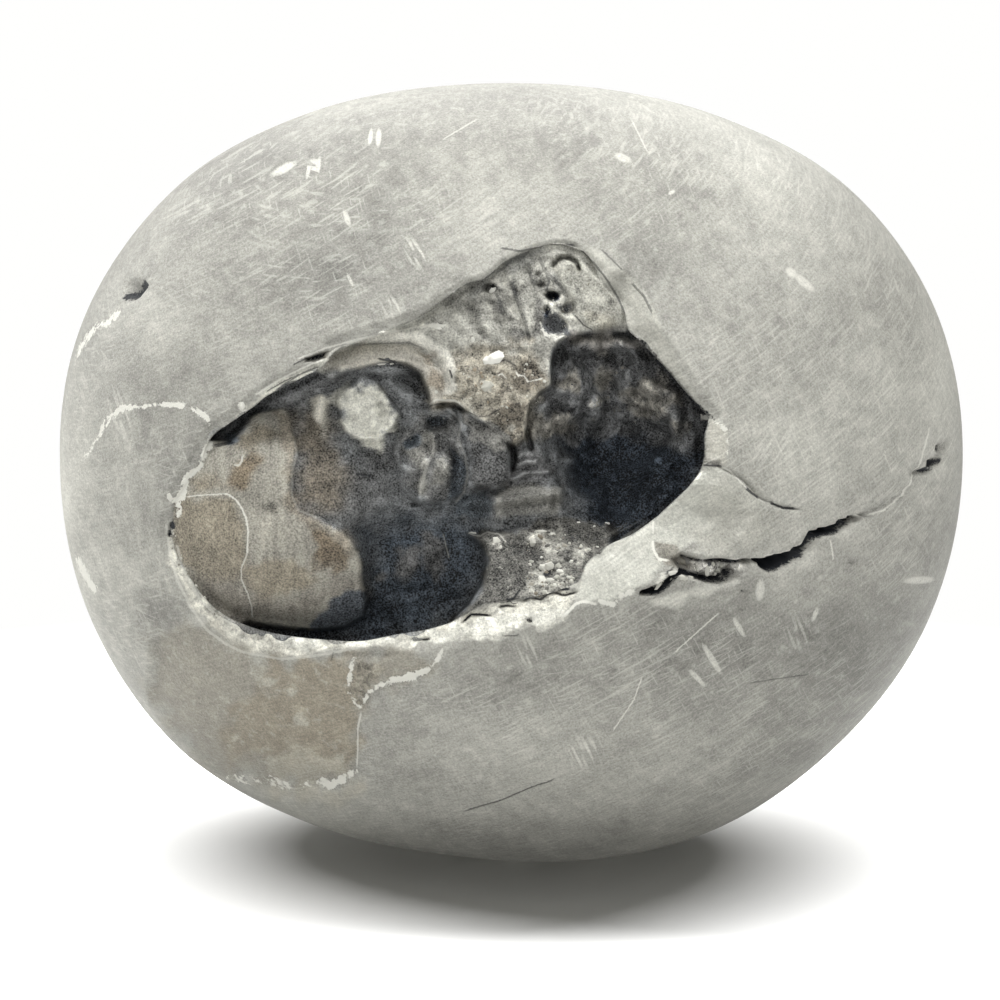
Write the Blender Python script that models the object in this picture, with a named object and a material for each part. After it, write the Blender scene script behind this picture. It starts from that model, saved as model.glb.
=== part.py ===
"""Shaligram stone: a river-worn limestone nodule that has broken open over the ammonite inside it.

One solid, in metres, +Z up, standing on a small flat spot. The stone is a sphere primitive whose vertices
are moved by formulas: a lumpy egg outside, and on the front a mouth whose lips, whorls, ribs, ledges,
pockets and cracks are hollows of stated depth. A Decimate modifier keeps the faces where the detail is.

Sizes are in millimetres until the last step. Places on the front are read from a 100 mm drawing sheet,
x to the right and y down, on which SHEET_MIDDLE is the middle of the stone.
"""

import math

import bmesh
import bpy
import numpy as np

MM = 0.001

# --- the whole stone -------------------------------------------------------------------------------
SHEET_MIDDLE = (51.2, 47.2)
# Radius of the outline seen from the front, every 20 degrees, anticlockwise from the right.
OUTLINE_RADII = (45.0, 45.2, 43.8, 41.0, 39.3, 39.3, 41.1, 44.1, 45.6, 45.0, 44.5, 43.3, 40.7, 39.1, 39.7, 41.2,
                 42.3, 43.9)
FRONT_BULGE = 36.0
BACK_BULGE = 34.5
SQUARENESS = 0.93  # 1 is an ellipsoid, and less is boxier
SWELL = 0.45  # depth of the gentle unevenness of the whole stone
MOUTH_TILT = math.radians(10.0)  # the mouth looks this far above the horizon
EYE_DISTANCE = 555.0  # the sheet is what an eye this far in front sees against the middle plane
EYE_AXIS = (-1.2, -2.8)  # where that eye's line of sight passes the middle, x and z
FOOT_CUT = 0.75  # height of the worn flat spot above the lowest point of the round stone

# --- the mouth -------------------------------------------------------------------------------------
# Edge of the mouth on the sheet, anticlockwise from its right-hand corner.
MOUTH_EDGE = (
    (70.8, 41.8), (69.7, 40.5), (68.3, 38.9), (66.7, 37.0), (64.2, 34.3), (62.8, 33.0), (62.4, 31.4), (61.7, 29.9),
    (60.6, 28.7), (59.5, 27.0), (58.6, 25.6), (57.2, 24.8), (55.5, 24.5), (53.8, 24.9), (51.9, 25.6), (50.3, 26.5),
    (48.7, 27.9), (46.8, 28.5), (44.5, 30.0), (42.0, 31.8), (39.2, 33.0), (36.0, 34.2), (33.5, 35.2), (32.4, 36.6),
    (30.5, 37.6), (28.7, 38.5), (26.6, 39.6), (25.2, 40.7), (23.0, 42.2), (21.4, 43.3), (20.5, 44.5), (19.9, 46.1),
    (18.7, 47.6), (18.2, 48.8), (17.3, 50.2), (17.1, 51.8), (17.0, 53.5), (17.2, 54.8), (18.0, 56.4), (19.2, 58.3),
    (20.6, 60.2), (22.4, 61.7), (24.5, 62.7), (26.9, 63.4), (29.3, 63.8), (32.5, 64.1), (35.7, 64.2), (38.1, 63.8),
    (40.0, 63.4), (42.4, 63.0), (44.8, 62.3), (46.5, 61.4), (48.5, 60.3), (51.0, 60.0), (54.0, 59.5), (56.0, 58.9),
    (57.8, 58.1), (58.6, 56.3), (60.6, 54.6), (63.2, 53.4), (65.6, 51.7), (66.9, 50.5), (68.9, 48.6), (70.0, 47.0),
    (70.4, 45.6), (70.4, 43.6),
)
# Lip round the mouth: angle in degrees, width of its slope, and how far it drops at the mouth's edge.
LIP = ((2, 1.6, 1.0), (20, 1.4, 1.1), (40, 2.4, 1.5), (60, 2.8, 1.8), (66, 1.4, 1.1),
       (78, 0.8, 0.6), (110, 0.7, 0.5), (145, 1.6, 0.8), (170, 1.2, 0.7), (190, 1.2, 0.7), (205, 1.7, 1.1),
       (225, 2.1, 1.3), (245, 2.3, 1.3), (265, 3.2, 1.4), (290, 2.6, 1.3), (303, 2.4, 1.2), (312, 4.6, 2.0),
       (326, 5.6, 2.6), (340, 7.4, 3.0), (350, 7.0, 2.6), (356, 2.6, 1.4))
WALL_START = 0.93  # share of the way out from the middle of the mouth where its wall begins
WALL_FOOT = 0.985  # how far out the foot of the wall stands, as a share of the edge
UNDERCUT = 0.30  # how far the wall hollows back under the lip, as a share of its height

# --- sizes of the mesh -----------------------------------------------------------------------------
COLUMNS = 300
INNER_RINGS = 62
OUTER_RINGS = 72
FINE_REACH = 16.0  # rings stay close together this far outside the mouth
FINE_STEP = 0.55
STEP_GROWTH = 0.085
CRACK_CROWDING = 0.8  # how much closer the columns stand beside the main crack
CRACK_HEADING = -18.0  # its heading from the middle of the stone, in degrees
CRACK_SPREAD = 26.0  # degrees to each side of it over which the columns spread out again
SWELL_CELL = 24.0
CUTTER_SIZE = 0.12
KEPT_FACES = 0.105  # share of the faces left by the Decimate modifier
STONE_COLOUR = (0.38, 0.375, 0.34, 1.0)


# --- tools for shaping -------------------------------------------------------------------------------
def from_sheet(places):
    """Sheet places (right, down) as (x, z) measured from the middle of the stone."""
    places = np.asarray(places, float)
    return np.stack([places[:, 0] - SHEET_MIDDLE[0], SHEET_MIDDLE[1] - places[:, 1]], axis=1)


def eased(share):
    """A share cut to 0..1 and eased at both ends: 3s^2 - 2s^3."""
    share = np.clip(share, 0.0, 1.0)
    return share * share * (3.0 - 2.0 * share)


def lattice_noise(points, cell, seed):
    """Noise from -1 to 1: every corner of a lattice of cubes has a hashed value, and a point blends its eight."""
    place = np.asarray(points, float) / cell
    corner = np.floor(place).astype(np.int64)
    part = place - corner
    part = part * part * (3.0 - 2.0 * part)
    total = np.zeros(len(place))
    for step in np.ndindex(2, 2, 2):
        key = (corner + step) @ np.array([73856093, 19349663, 83492791]) + seed * 7919
        key = (key ^ (key >> 13)) * 1274126177
        value = ((key ^ (key >> 16)) & 0xFFFF) / 32767.5 - 1.0
        total += value * np.prod(np.where(step, part, 1.0 - part), axis=1)
    return total


def around(values, degrees):
    """Values given every equal step of a full turn, read at any angle by a Catmull-Rom curve."""
    values = np.asarray(values, float)
    place = np.asarray(degrees, float) / 360.0 * len(values)
    low = np.floor(place).astype(int)
    share = place - low
    before, start, end, after = (values[(low + n) % len(values)] for n in (-1, 0, 1, 2))
    return start + 0.5 * share * (end - before + share * (2 * before - 5 * start + 4 * end - after
                                                           + share * (3 * (start - end) + after - before)))


def closed_curve(places, count, weight):
    """`count` places along the smooth closed curve through `places`, equally spaced by length times weight."""
    fine = 16 * len(places)
    turn = np.arange(fine) * 360.0 / fine
    dense = np.stack([around(places[:, 0], turn), around(places[:, 1], turn)], axis=1)
    steps = np.linalg.norm(np.roll(dense, -1, axis=0) - dense, axis=1) * weight(dense)
    length = np.concatenate([[0.0], np.cumsum(steps)])
    wanted = np.arange(count) * length[-1] / count
    looped = np.vstack([dense, dense[:1]])
    return np.stack([np.interp(wanted, length, looped[:, 0]), np.interp(wanted, length, looped[:, 1])], axis=1)


def path_distance(x, z, path):
    """Distance of each place from an open path, and how far along it, 0 to 1, the nearest point lies."""
    path = from_sheet(path)
    lengths = np.linalg.norm(np.diff(path, axis=0), axis=1)
    best = np.full(x.shape, np.inf)
    along = np.zeros(x.shape)
    done = 0.0
    for (ax, az), (bx, bz), length in zip(path[:-1], path[1:], lengths):
        share = np.clip(((x - ax) * (bx - ax) + (z - az) * (bz - az)) / length**2, 0.0, 1.0)
        gap = np.hypot(x - ax - share * (bx - ax), z - az - share * (bz - az))
        nearer = gap < best
        best = np.where(nearer, gap, best)
        along = np.where(nearer, (done + share * length) / lengths.sum(), along)
        done += length
    return best, along


def inside_distance(x, z, outline):
    """Distance of each place from a closed outline, positive inside it and negative outside."""
    gap, _ = path_distance(x, z, (*outline, outline[0]))
    corners = from_sheet(outline)
    inside = np.zeros(x.shape, bool)
    for (ax, az), (bx, bz) in zip(corners, np.roll(corners, -1, axis=0)):
        if az != bz:
            inside ^= ((az > z) != (bz > z)) & (x < ax + (z - az) * (bx - ax) / (bz - az))
    return np.where(inside, gap, -gap)


def within(x, z, outline, edge):
    """1 inside a closed outline and 0 outside it, easing over `edge` across the line."""
    return eased(0.5 + inside_distance(x, z, outline) / edge)


def bump(x, z, middle, radii, degrees=0.0):
    """A round bump: 1 at its middle, falling as a parabola to 0 on an ellipse of these radii turned by `degrees`."""
    (mx, mz), turn = from_sheet([middle])[0], math.radians(degrees)
    along = (x - mx) * math.cos(turn) + (z - mz) * math.sin(turn)
    across = (z - mz) * math.cos(turn) - (x - mx) * math.sin(turn)
    return np.clip(1.0 - (along / radii[0]) ** 2 - (across / radii[1]) ** 2, 0.0, 1.0)


def groove(x, z, path, half_width, depth):
    """A groove along a path: full depth on its line, and nothing past its half width, which may vary along it."""
    gap, along = path_distance(x, z, path)
    widths = np.atleast_1d(half_width)
    width = np.interp(along, np.linspace(0.0, 1.0, len(widths)), widths)
    return depth * eased(1.0 - gap / np.maximum(width, 0.01))


# --- the round outside ---------------------------------------------------------------------------------
def outline_radius(x, z):
    return around(OUTLINE_RADII, np.degrees(np.arctan2(z, x)) % 360.0)


def skin_depth(x, z):
    """y of the unbroken front behind sheet place (x, z): a superellipse bulging towards -y."""
    share = np.clip(np.hypot(x, z) / outline_radius(x, z), 0.0, 1.0) ** (1.0 / SQUARENESS)
    return -FRONT_BULGE * np.sqrt(1.0 - share**2) ** SQUARENESS


def skin_angle(x, z):
    """Angle from the front pole to sheet place (x, z) on the unbroken front."""
    share = np.clip(np.hypot(x, z) / outline_radius(x, z), 0.0, 1.0)
    return np.arcsin(share ** (1.0 / SQUARENESS))


# --- what is cut into the outside ---------------------------------------------------------------------
# Cracks: path, half width along it, and depth.
CRACKS = (
    (((64.1, 59.1), (65.6, 59.3), (67.0, 58.4), (68.2, 57.2), (70.5, 57.0), (72.5, 57.2), (73.7, 56.3), (75.4, 56.0),
      (76.3, 56.6), (78.5, 56.1), (80.4, 54.7), (81.0, 54.0), (82.2, 53.1), (84.0, 52.7), (85.5, 52.1), (86.6, 51.5)),
     (0.5, 0.8, 0.9, 1.0, 1.0, 0.9, 0.6, 0.5, 1.0, 0.8, 0.6, 0.55, 0.55, 0.7, 0.55, 0.3), 2.8),
    (((86.6, 51.5), (88.5, 50.3), (90.5, 49.0), (92.5, 47.0)), (0.4, 0.3, 0.3), 0.5),
    (((71.8, 46.6), (74.3, 47.9), (75.6, 49.3), (76.4, 50.0), (78.0, 50.6), (79.9, 50.9)), (0.35, 0.4, 0.45, 0.3), 0.9),
    (((30.6, 36.0), (31.7, 35.7), (32.8, 35.4)), (0.2, 0.5, 0.4), 1.6),
    (((52.3, 60.0), (54.1, 59.9), (55.4, 59.2), (56.4, 59.5), (57.6, 59.2)), 0.35, 0.9),
    (((50.0, 60.7), (51.5, 60.7)), 0.35, 0.9),
    (((46.4, 62.1), (47.1, 61.4), (49.0, 61.5)), 0.35, 0.9),
    (((41.4, 64.0), (42.9, 63.9)), 0.35, 0.9),
)
# Pits of the skin: middle, radii, turn in degrees, and depth.
SKIN_PITS = (((13.7, 29.0), (1.3, 0.75), 50.0, 1.3), ((93.5, 46.3), (0.9, 0.8), 0.0, 2.0))
CHIPPED_PIT = ((67.2, 55.6), (69.8, 55.9), (72.2, 56.0), (73.9, 56.4), (73.2, 58.0), (70.6, 58.5), (68.0, 57.8))
CHIPPED_DEPTH = 1.3
FLAKE_SCAR = ((15.0, 64.0), (20.5, 62.5), (25.0, 65.5), (30.0, 66.2), (34.5, 65.2), (39.2, 65.0), (42.6, 66.0),
              (43.3, 67.1), (41.0, 67.9), (38.5, 68.8), (37.1, 70.0), (35.8, 72.2), (35.6, 77.5), (34.3, 78.6),
              (31.9, 78.9), (27.7, 78.7), (25.5, 78.2), (21.7, 77.6), (18.0, 74.5), (15.0, 70.0))
FLAKE_DEPTH = 0.45
BACK_TURN = 0.15  # hollows fade out over this cosine, where the front turns into the side
LEAN_REACH = 14.0  # hollows go straight back near the mouth, and towards the middle of the stone this far outside it
STRAIGHT_BACK = 30.0


def lip_drop(x, z, outside):
    """Chamfer of the lip: full drop at the mouth's edge, falling to nothing at the lip's width."""
    degrees, widths, drops = np.array(LIP, float).T
    turn = np.degrees(np.arctan2(z, x)) % 360.0
    width = np.interp(turn, degrees, widths, period=360.0)
    drop = np.interp(turn, degrees, drops, period=360.0)
    return drop * np.clip(1.0 - outside / width, 0.0, 1.0)


def skin_hollows(x, z, outside):
    """Depth of the lip, cracks, pits and the flake scar at places of the front outside the mouth."""
    depth = lip_drop(x, z, outside)
    for path, half_width, deep in CRACKS:
        depth += groove(x, z, path, half_width, deep)
    depth += CHIPPED_DEPTH * within(x, z, CHIPPED_PIT, 0.8)
    depth += FLAKE_DEPTH * within(x, z, FLAKE_SCAR, 0.9)
    for middle, radii, degrees, deep in SKIN_PITS:
        depth += deep * bump(x, z, middle, radii, degrees)
    return depth


# --- what is inside the mouth ---------------------------------------------------------------------------
# The body chamber's own filling. WHORL_CROWN is its bend from side to side about WHORL_MIDDLE, and its foot and its
# head fall away below and above the heights given, each as a parabola.
LEFT_WHORL = ((21.0, 43.9), (22.9, 44.2), (24.0, 43.1), (25.0, 41.5), (25.9, 41.1), (28.2, 40.8), (28.6, 41.3),
              (28.8, 42.0), (28.9, 43.1), (29.5, 44.2), (29.6, 44.9), (29.4, 46.0), (29.0, 47.5), (28.9, 48.5),
              (29.0, 49.6), (29.5, 50.9), (30.4, 51.7), (31.7, 51.9), (33.0, 52.6), (34.1, 53.3), (35.0, 54.2),
              (35.7, 55.4), (36.1, 56.9), (36.2, 58.6), (36.6, 60.2), (36.2, 61.8), (34.4, 62.8), (31.6, 63.2),
              (28.6, 63.0), (25.6, 62.6), (23.4, 62.2), (21.0, 61.2),
              (19.5, 60.0), (17.0, 57.6), (15.5, 54.0), (15.5, 50.0), (18.0, 46.0))
WHORL_FRONT = 0.7
WHORL_MIDDLE = -34.5
WHORL_CROWN = 0.012
WHORL_FOOT = (-6.5, 0.045)
WHORL_HEAD = (-0.5, 0.06)
LAYER_STEP = 0.7  # thickness of the pale layer that covers the left of the whorl
# The chamber's floor: depth, slopes to the right and upwards, and its least and greatest depth.
FLOOR_DEPTH = 9.9
FLOOR_SLOPES = (0.12, -0.16)
FLOOR_RANGE = (6.4, 11.5)
FLOOR_BLEND = 4.0  # depth over which the whorl runs out into that floor
OVERHANG_GAP = 5.0  # depth of the gap between the whorl and the lip that hangs over it
TOP_GAP_BELOW = ((15.0, 70.0), (15.0, 49.0), (20.4, 45.0), (22.2, 44.4), (23.4, 43.6), (24.6, 41.9), (27.4, 40.9),
                 (30.4, 39.4), (33.0, 38.0), (36.0, 37.4), (75.0, 37.2), (75.0, 70.0))  # all of the mouth below that gap
# Lumps on the chamber's floor: middle, radii, turn in degrees, and height.
FLOOR_LUMPS = (((31.8, 41.4), (0.9, 2.8), -8.0, 0.9), ((41.0, 37.6), (2.0, 1.7), -40.0, -1.1))
PALE_BLOTCH = ((36.1, 37.5), (35.4, 38.4), (34.1, 39.1), (33.7, 40.0), (34.0, 42.2), (34.6, 43.3), (35.9, 43.9),
               (37.3, 43.8), (37.6, 44.7), (38.3, 43.5), (39.3, 42.7), (39.9, 41.3), (39.2, 40.2), (38.1, 38.9),
               (37.7, 38.0))
BLOTCH_HEIGHT = 1.4
# The shelf of broken rock above the whorls.
UPPER_SHELF = ((63.6, 33.2), (61.9, 33.1), (61.1, 33.0), (57.6, 33.4), (56.0, 34.2), (55.4, 35.0), (55.1, 36.7),
               (55.1, 38.6), (54.0, 39.3), (53.0, 40.3), (52.8, 41.5), (52.4, 43.8), (51.5, 44.4), (50.6, 44.1),
               (50.1, 43.6), (48.6, 42.4), (47.4, 41.9), (46.4, 41.0), (45.5, 40.3), (44.2, 40.2), (43.3, 40.6),
               (42.9, 39.8), (42.6, 38.7), (42.0, 37.4), (40.9, 36.5), (39.4, 36.1), (37.8, 36.3), (35.0, 37.0),
               (33.0, 37.9), (31.5, 37.0), (32.0, 33.0), (42.0, 29.0), (50.0, 22.0), (60.0, 22.0), (64.0, 28.0),
               (65.0, 32.0))
SHELF_TOP = 22.0
SHELF_TOP_DEPTH = 1.1
SHELF_SLOPE = 0.20
SHELF_ARC = ((33.0, 35.2), (36.4, 34.4), (40.8, 34.3), (42.5, 35.0), (43.7, 36.2), (45.0, 38.4))
ARC_DROP = 0.5
ARC_GROOVE = 0.35
PALE_PATCH = ((55.4, 26.8), (56.0, 26.1), (58.4, 26.5), (60.6, 28.6), (62.0, 30.6), (62.4, 32.4), (59.1, 33.1),
              (57.7, 31.5), (57.5, 30.2), (56.3, 28.8))
PATCH_HEIGHT = 0.7
PATCH_SLIT = ((55.4, 26.6), (56.0, 25.9), (57.0, 25.9), (57.6, 26.3), (57.9, 26.9))
SLIT_DEPTH = 1.6
RIBBED_WHORL = ((45.0, 30.2), (48.0, 28.2), (52.0, 26.0), (54.6, 26.6), (54.4, 31.0), (53.6, 34.0), (50.5, 34.4),
                (47.4, 33.6), (44.6, 33.0))  # scrap of an outer whorl high on the shelf
RIB_PITCH = 2.1
RIB_LEAN = 0.6  # its ribs lean to the right going down
RIB_HEIGHT = 0.26
SHELF_PITS = (((55.3, 29.6), (0.8, 0.6), 0.0, 2.4), ((55.6, 32.6), (1.3, 1.2), -30.0, 1.5),
              ((56.7, 30.9), (0.8, 0.7), 40.0, 1.2), ((49.2, 28.6), (0.7, 0.6), 0.0, 1.0))
CRYSTALS = (((49.4, 29.2), (0.6, 0.5), 0.0, 0.9), ((49.3, 35.9), (1.2, 0.85), 20.0, 1.0))
# The coil's middle.
COIL_DEPTH = 8.6
COIL_START = -6.0  # x where the chamber's floor starts to give way to the coil
COIL_BLEND = 3.0
KNOB = (43.2, 45.6)
KNOB_DEPTH = 9.0
KNOB_RISE = (4.2, 5.4)
KNOB_HEIGHT = 3.0
KNOB_FACE = (((42.6, 45.8), (2.3, 2.2), 20.0, 1.3), ((44.0, 47.0), (1.3, 1.9), 0.0, 0.5))
SECOND_LOBE = ((46.4, 42.4), (49.0, 42.2), (50.8, 43.9), (51.0, 46.6), (50.9, 48.4), (49.6, 49.0), (47.6, 49.0),
               (46.9, 48.6), (47.1, 46.0))
LOBE_DEPTH = 5.7
LOBE_CROWN = ((48.7, 45.8), (2.6, 3.4), 0.0, 0.6)
KNOB_RIM = ((43.4, 40.9), (45.0, 40.8), (46.0, 41.6), (46.0, 43.8), (46.5, 45.0), (47.0, 46.0), (47.1, 47.0),
            (46.9, 48.0), (46.5, 49.3))
LOBE_SLITS = (((51.3, 44.2), (51.3, 46.9)), ((47.9, 49.0), (50.9, 48.1)), ((41.3, 50.4), (44.5, 50.5)))
# Raised ribs: path, half width along it, and height.
RIBS = (
    (KNOB_RIM, 0.55, 0.7),
    (((51.6, 45.6), (53.6, 45.2)), 0.38, 0.65), (((51.6, 46.4), (53.9, 46.0)), 0.38, 0.65),
    (((51.0, 47.4), (54.3, 46.9)), 0.38, 0.65), (((49.6, 50.2), (53.0, 49.6), (56.0, 49.4)), (0.9, 1.2, 0.9), 1.1),
    (((46.6, 50.3), (48.0, 50.0), (49.3, 50.2)), (0.9, 1.2, 0.9), 1.1),
)
# The pockets and the bank between them.
LOWER_POCKET = ((36.4, 53.2), (40.0, 51.6), (44.0, 51.4), (47.0, 52.0), (48.2, 53.6), (48.7, 56.0), (48.2, 58.6),
                (46.4, 60.8), (42.4, 63.4), (38.0, 64.5), (33.0, 64.8), (26.0, 64.0), (23.6, 62.8), (28.5, 62.4),
                (30.4, 61.7), (32.2, 60.4), (34.5, 59.3), (36.3, 58.9), (36.8, 56.0))
LOWER_POCKET_DEPTH = 11.4
LOWER_POCKET_BLEND = 5.0
LOWER_LUMP = ((40.6, 56.0), (3.6, 3.4), 0.0, 1.4)
RIGHT_POCKET = ((54.3, 39.2), (55.1, 38.4), (55.1, 36.7), (55.6, 34.4), (57.6, 33.4), (61.1, 33.0), (61.9, 33.1),
                (63.1, 33.8), (64.1, 34.1), (65.3, 35.9), (66.3, 36.7), (67.7, 38.3), (69.1, 39.9), (71.7, 42.1),
                (70.4, 42.0), (70.3, 45.4), (69.8, 47.0), (69.1, 48.1), (67.0, 50.4), (65.6, 51.3), (63.2, 53.2),
                (61.0, 53.6), (58.9, 52.6), (56.4, 51.7), (55.2, 50.2), (54.6, 48.9), (54.0, 47.0), (53.2, 45.0),
                (53.0, 43.0), (53.4, 40.6))
POCKET_EDGE_DEPTH = 7.8
POCKET_DROP = 8.6
POCKET_REACH = 6.0  # how far in from its edge the right pocket is at its deepest
POCKET_LUMPS = (((66.5, 40.5), (4.5, 4.0), 0.0, 1.3), ((60.5, 41.5), (3.0, 4.0), 0.0, 1.1))
LOWER_BANK = ((46.9, 53.4), (47.3, 53.5), (48.0, 53.6), (48.7, 53.2), (49.9, 53.3), (51.6, 53.0), (52.9, 52.6),
              (53.9, 52.0), (55.6, 52.2), (57.8, 52.2), (60.7, 52.4), (61.5, 53.4), (61.1, 54.4), (60.0, 58.0),
              (58.0, 61.0), (50.0, 63.0), (44.0, 64.5), (45.5, 61.9), (47.0, 60.4), (48.3, 58.4), (48.8, 56.4),
              (48.5, 54.6))
BANK_FOOT = -12.6
BANK_FOOT_DEPTH = 1.2
BANK_SLOPE = 0.95
BANK_RANGE = (1.0, 8.0)
CRISP_EDGE = 0.5  # width over which one form of the mouth gives way to the next


def layered(depth, share, value):
    """`value` laid over `depth` by a share from 0 to 1."""
    return depth + share * (value - depth)


def lumps(x, z, table):
    """Sum of round bumps, each of its own height."""
    return sum(height * bump(x, z, middle, radii, degrees) for middle, radii, degrees, height in table)


def whorl(x, z):
    """The body chamber's own filling: it starts flush with the left lip and rounds over to right and bottom."""
    below, above = np.maximum(0.0, WHORL_FOOT[0] - z), np.maximum(0.0, z - WHORL_HEAD[0])
    depth = WHORL_FRONT + WHORL_CROWN * (x - WHORL_MIDDLE) ** 2
    return depth + WHORL_FOOT[1] * below**2 + WHORL_HEAD[1] * above**2


def chamber_floor(x, z):
    """Left half of the mouth: the whorl rolls on beneath its own broken layer and dips to a deeper floor."""
    floor = np.clip(FLOOR_DEPTH + FLOOR_SLOPES[0] * x + FLOOR_SLOPES[1] * z, *FLOOR_RANGE)
    beneath = whorl(x, z) + LAYER_STEP
    floor = layered(beneath, eased(0.5 + (beneath - floor) / FLOOR_BLEND), floor)
    floor = layered(floor, 1.0 - within(x, z, TOP_GAP_BELOW, 2.0 * CRISP_EDGE), OVERHANG_GAP)
    return floor - BLOTCH_HEIGHT * within(x, z, PALE_BLOTCH, CRISP_EDGE) - lumps(x, z, FLOOR_LUMPS)


def shelf(x, z):
    """Broken rock above the whorls: it slopes in from the upper edge, with fanned ribs, pits and crystals."""
    below_arc = eased(1.0 - path_distance(x, z, SHELF_ARC)[0] / 1.2)
    depth = SHELF_TOP_DEPTH + SHELF_SLOPE * (SHELF_TOP - z) + ARC_DROP * below_arc
    ribs = np.cos(2.0 * math.pi * (x + RIB_LEAN * z) / RIB_PITCH)
    depth -= RIB_HEIGHT * ribs * within(x, z, RIBBED_WHORL, 1.2)
    depth -= PATCH_HEIGHT * within(x, z, PALE_PATCH, CRISP_EDGE)
    depth += groove(x, z, PATCH_SLIT, 0.4, SLIT_DEPTH) + groove(x, z, SHELF_ARC, 0.3, ARC_GROOVE)
    for middle, radii, degrees, deep in SHELF_PITS:
        depth += deep * np.sqrt(bump(x, z, middle, radii, degrees))
    for middle, radii, degrees, tall in CRYSTALS:
        depth -= tall * np.sqrt(bump(x, z, middle, radii, degrees))
    return depth


def lobes(x, z, depth):
    """The coil's middle: a ringed knob, a squarer second lobe, the slits between them, and the ribs beside them."""
    knob = KNOB_DEPTH - KNOB_HEIGHT * np.sqrt(bump(x, z, KNOB, KNOB_RISE))
    for middle, radii, degrees, tall in KNOB_FACE:
        knob -= tall * np.sqrt(bump(x, z, middle, radii, degrees))
    depth = layered(depth, eased(3.0 * bump(x, z, KNOB, KNOB_RISE)), np.minimum(depth, knob))
    depth = layered(depth, within(x, z, SECOND_LOBE, CRISP_EDGE), LOBE_DEPTH - lumps(x, z, (LOBE_CROWN,)))
    for slit in LOBE_SLITS:
        depth += groove(x, z, slit, 0.4, 1.8)
    for path, half_width, height in RIBS:
        depth -= groove(x, z, path, half_width, height)
    return depth


def bank(z):
    """Crusted slope that climbs from the foot of the coil to the lower lip."""
    return np.clip(BANK_FOOT_DEPTH + BANK_SLOPE * (z - BANK_FOOT), *BANK_RANGE)


def mouth_hollows(x, z):
    """Depth of the mouth behind the unbroken front at places inside its edge."""
    depth = layered(chamber_floor(x, z), eased((x - COIL_START) / COIL_BLEND), COIL_DEPTH)
    lower = LOWER_POCKET_DEPTH - lumps(x, z, (LOWER_LUMP,))
    depth = layered(depth, within(x, z, LOWER_POCKET, LOWER_POCKET_BLEND), lower)
    inside = inside_distance(x, z, RIGHT_POCKET)
    pocket = POCKET_EDGE_DEPTH + POCKET_DROP * eased(inside / POCKET_REACH) - lumps(x, z, POCKET_LUMPS)
    depth = layered(depth, eased(0.5 + inside / CRISP_EDGE), pocket)
    depth = lobes(x, z, depth)
    for outline, form in ((LEFT_WHORL, whorl(x, z)), (UPPER_SHELF, shelf(x, z)), (LOWER_BANK, bank(z))):
        depth = layered(depth, within(x, z, outline, CRISP_EDGE), form)
    return depth


# --- the whole surface -------------------------------------------------------------------------------
def ring_angles(start):
    """Angles from each start to the back pole: small equal steps near the mouth, then growing ones."""
    steps = np.full(OUTER_RINGS, FINE_STEP)
    fine = int(FINE_REACH / FINE_STEP)
    steps[fine:] = FINE_STEP * (1.0 + STEP_GROWTH) ** np.arange(1, OUTER_RINGS - fine + 1)
    share = np.cumsum(steps) / steps.sum()
    return start + share[:, None] * (math.pi - start)


def crack_side(places):
    """Columns stand closer where the main crack leaves the mouth."""
    turn = np.degrees(np.arctan2(places[:, 1], places[:, 0]))
    return 1.0 + CRACK_CROWDING * eased(1.5 - np.abs(turn - CRACK_HEADING) / CRACK_SPREAD)


def inner_surface(edge):
    """Rings from the middle of the mouth to its edge: sheet x and z, and y."""
    share = np.linspace(0.0, 1.0, INNER_RINGS + 1)[:, None]
    climb = np.clip((share - WALL_START) / (1.0 - WALL_START), 0.0, 1.0)
    out = np.where(share < WALL_START, share / WALL_START * WALL_FOOT, WALL_FOOT + (1.0 - WALL_FOOT) * climb)
    x, z = out * edge[:, 0], out * edge[:, 1]
    foot = mouth_hollows(WALL_FOOT * edge[:, 0], WALL_FOOT * edge[:, 1])
    rim = lip_drop(edge[:, 0], edge[:, 1], 0.0)
    floor = mouth_hollows(np.minimum(out, WALL_FOOT) * edge[:, 0], np.minimum(out, WALL_FOOT) * edge[:, 1])
    depth = layered(floor, eased(climb), rim)
    back = UNDERCUT * np.maximum(foot - rim, 0.0) * np.sin(math.pi * climb) / np.hypot(edge[:, 0], edge[:, 1])
    y = skin_depth(x, z) + depth
    return x * (1.0 + back), y, z * (1.0 + back)


def outer_surface(edge):
    """Rings from the edge of the mouth round to the back pole: sheet x and z, and y."""
    angle = ring_angles(skin_angle(edge[:, 0], edge[:, 1]))
    turn = np.arctan2(edge[:, 1], edge[:, 0])
    radius = outline_radius(edge[:, 0], edge[:, 1]) * np.sin(angle) ** SQUARENESS
    x, z = radius * np.cos(turn), radius * np.sin(turn)
    forward = np.cos(angle)
    bulge = np.where(forward > 0.0, FRONT_BULGE, BACK_BULGE)
    y = -np.sign(forward) * bulge * np.abs(forward) ** SQUARENESS
    outside = np.maximum(-inside_distance(x, z, MOUTH_EDGE), 0.0)
    depth = skin_hollows(x, z, outside) * eased(forward / BACK_TURN)
    lean = eased(outside / LEAN_REACH)
    inward = np.stack([-x * lean, -y * lean + STRAIGHT_BACK * (1.0 - lean), -z * lean])
    inward /= np.linalg.norm(inward, axis=0)
    return x + inward[0] * depth, y + inward[1] * depth, z + inward[2] * depth


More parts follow.
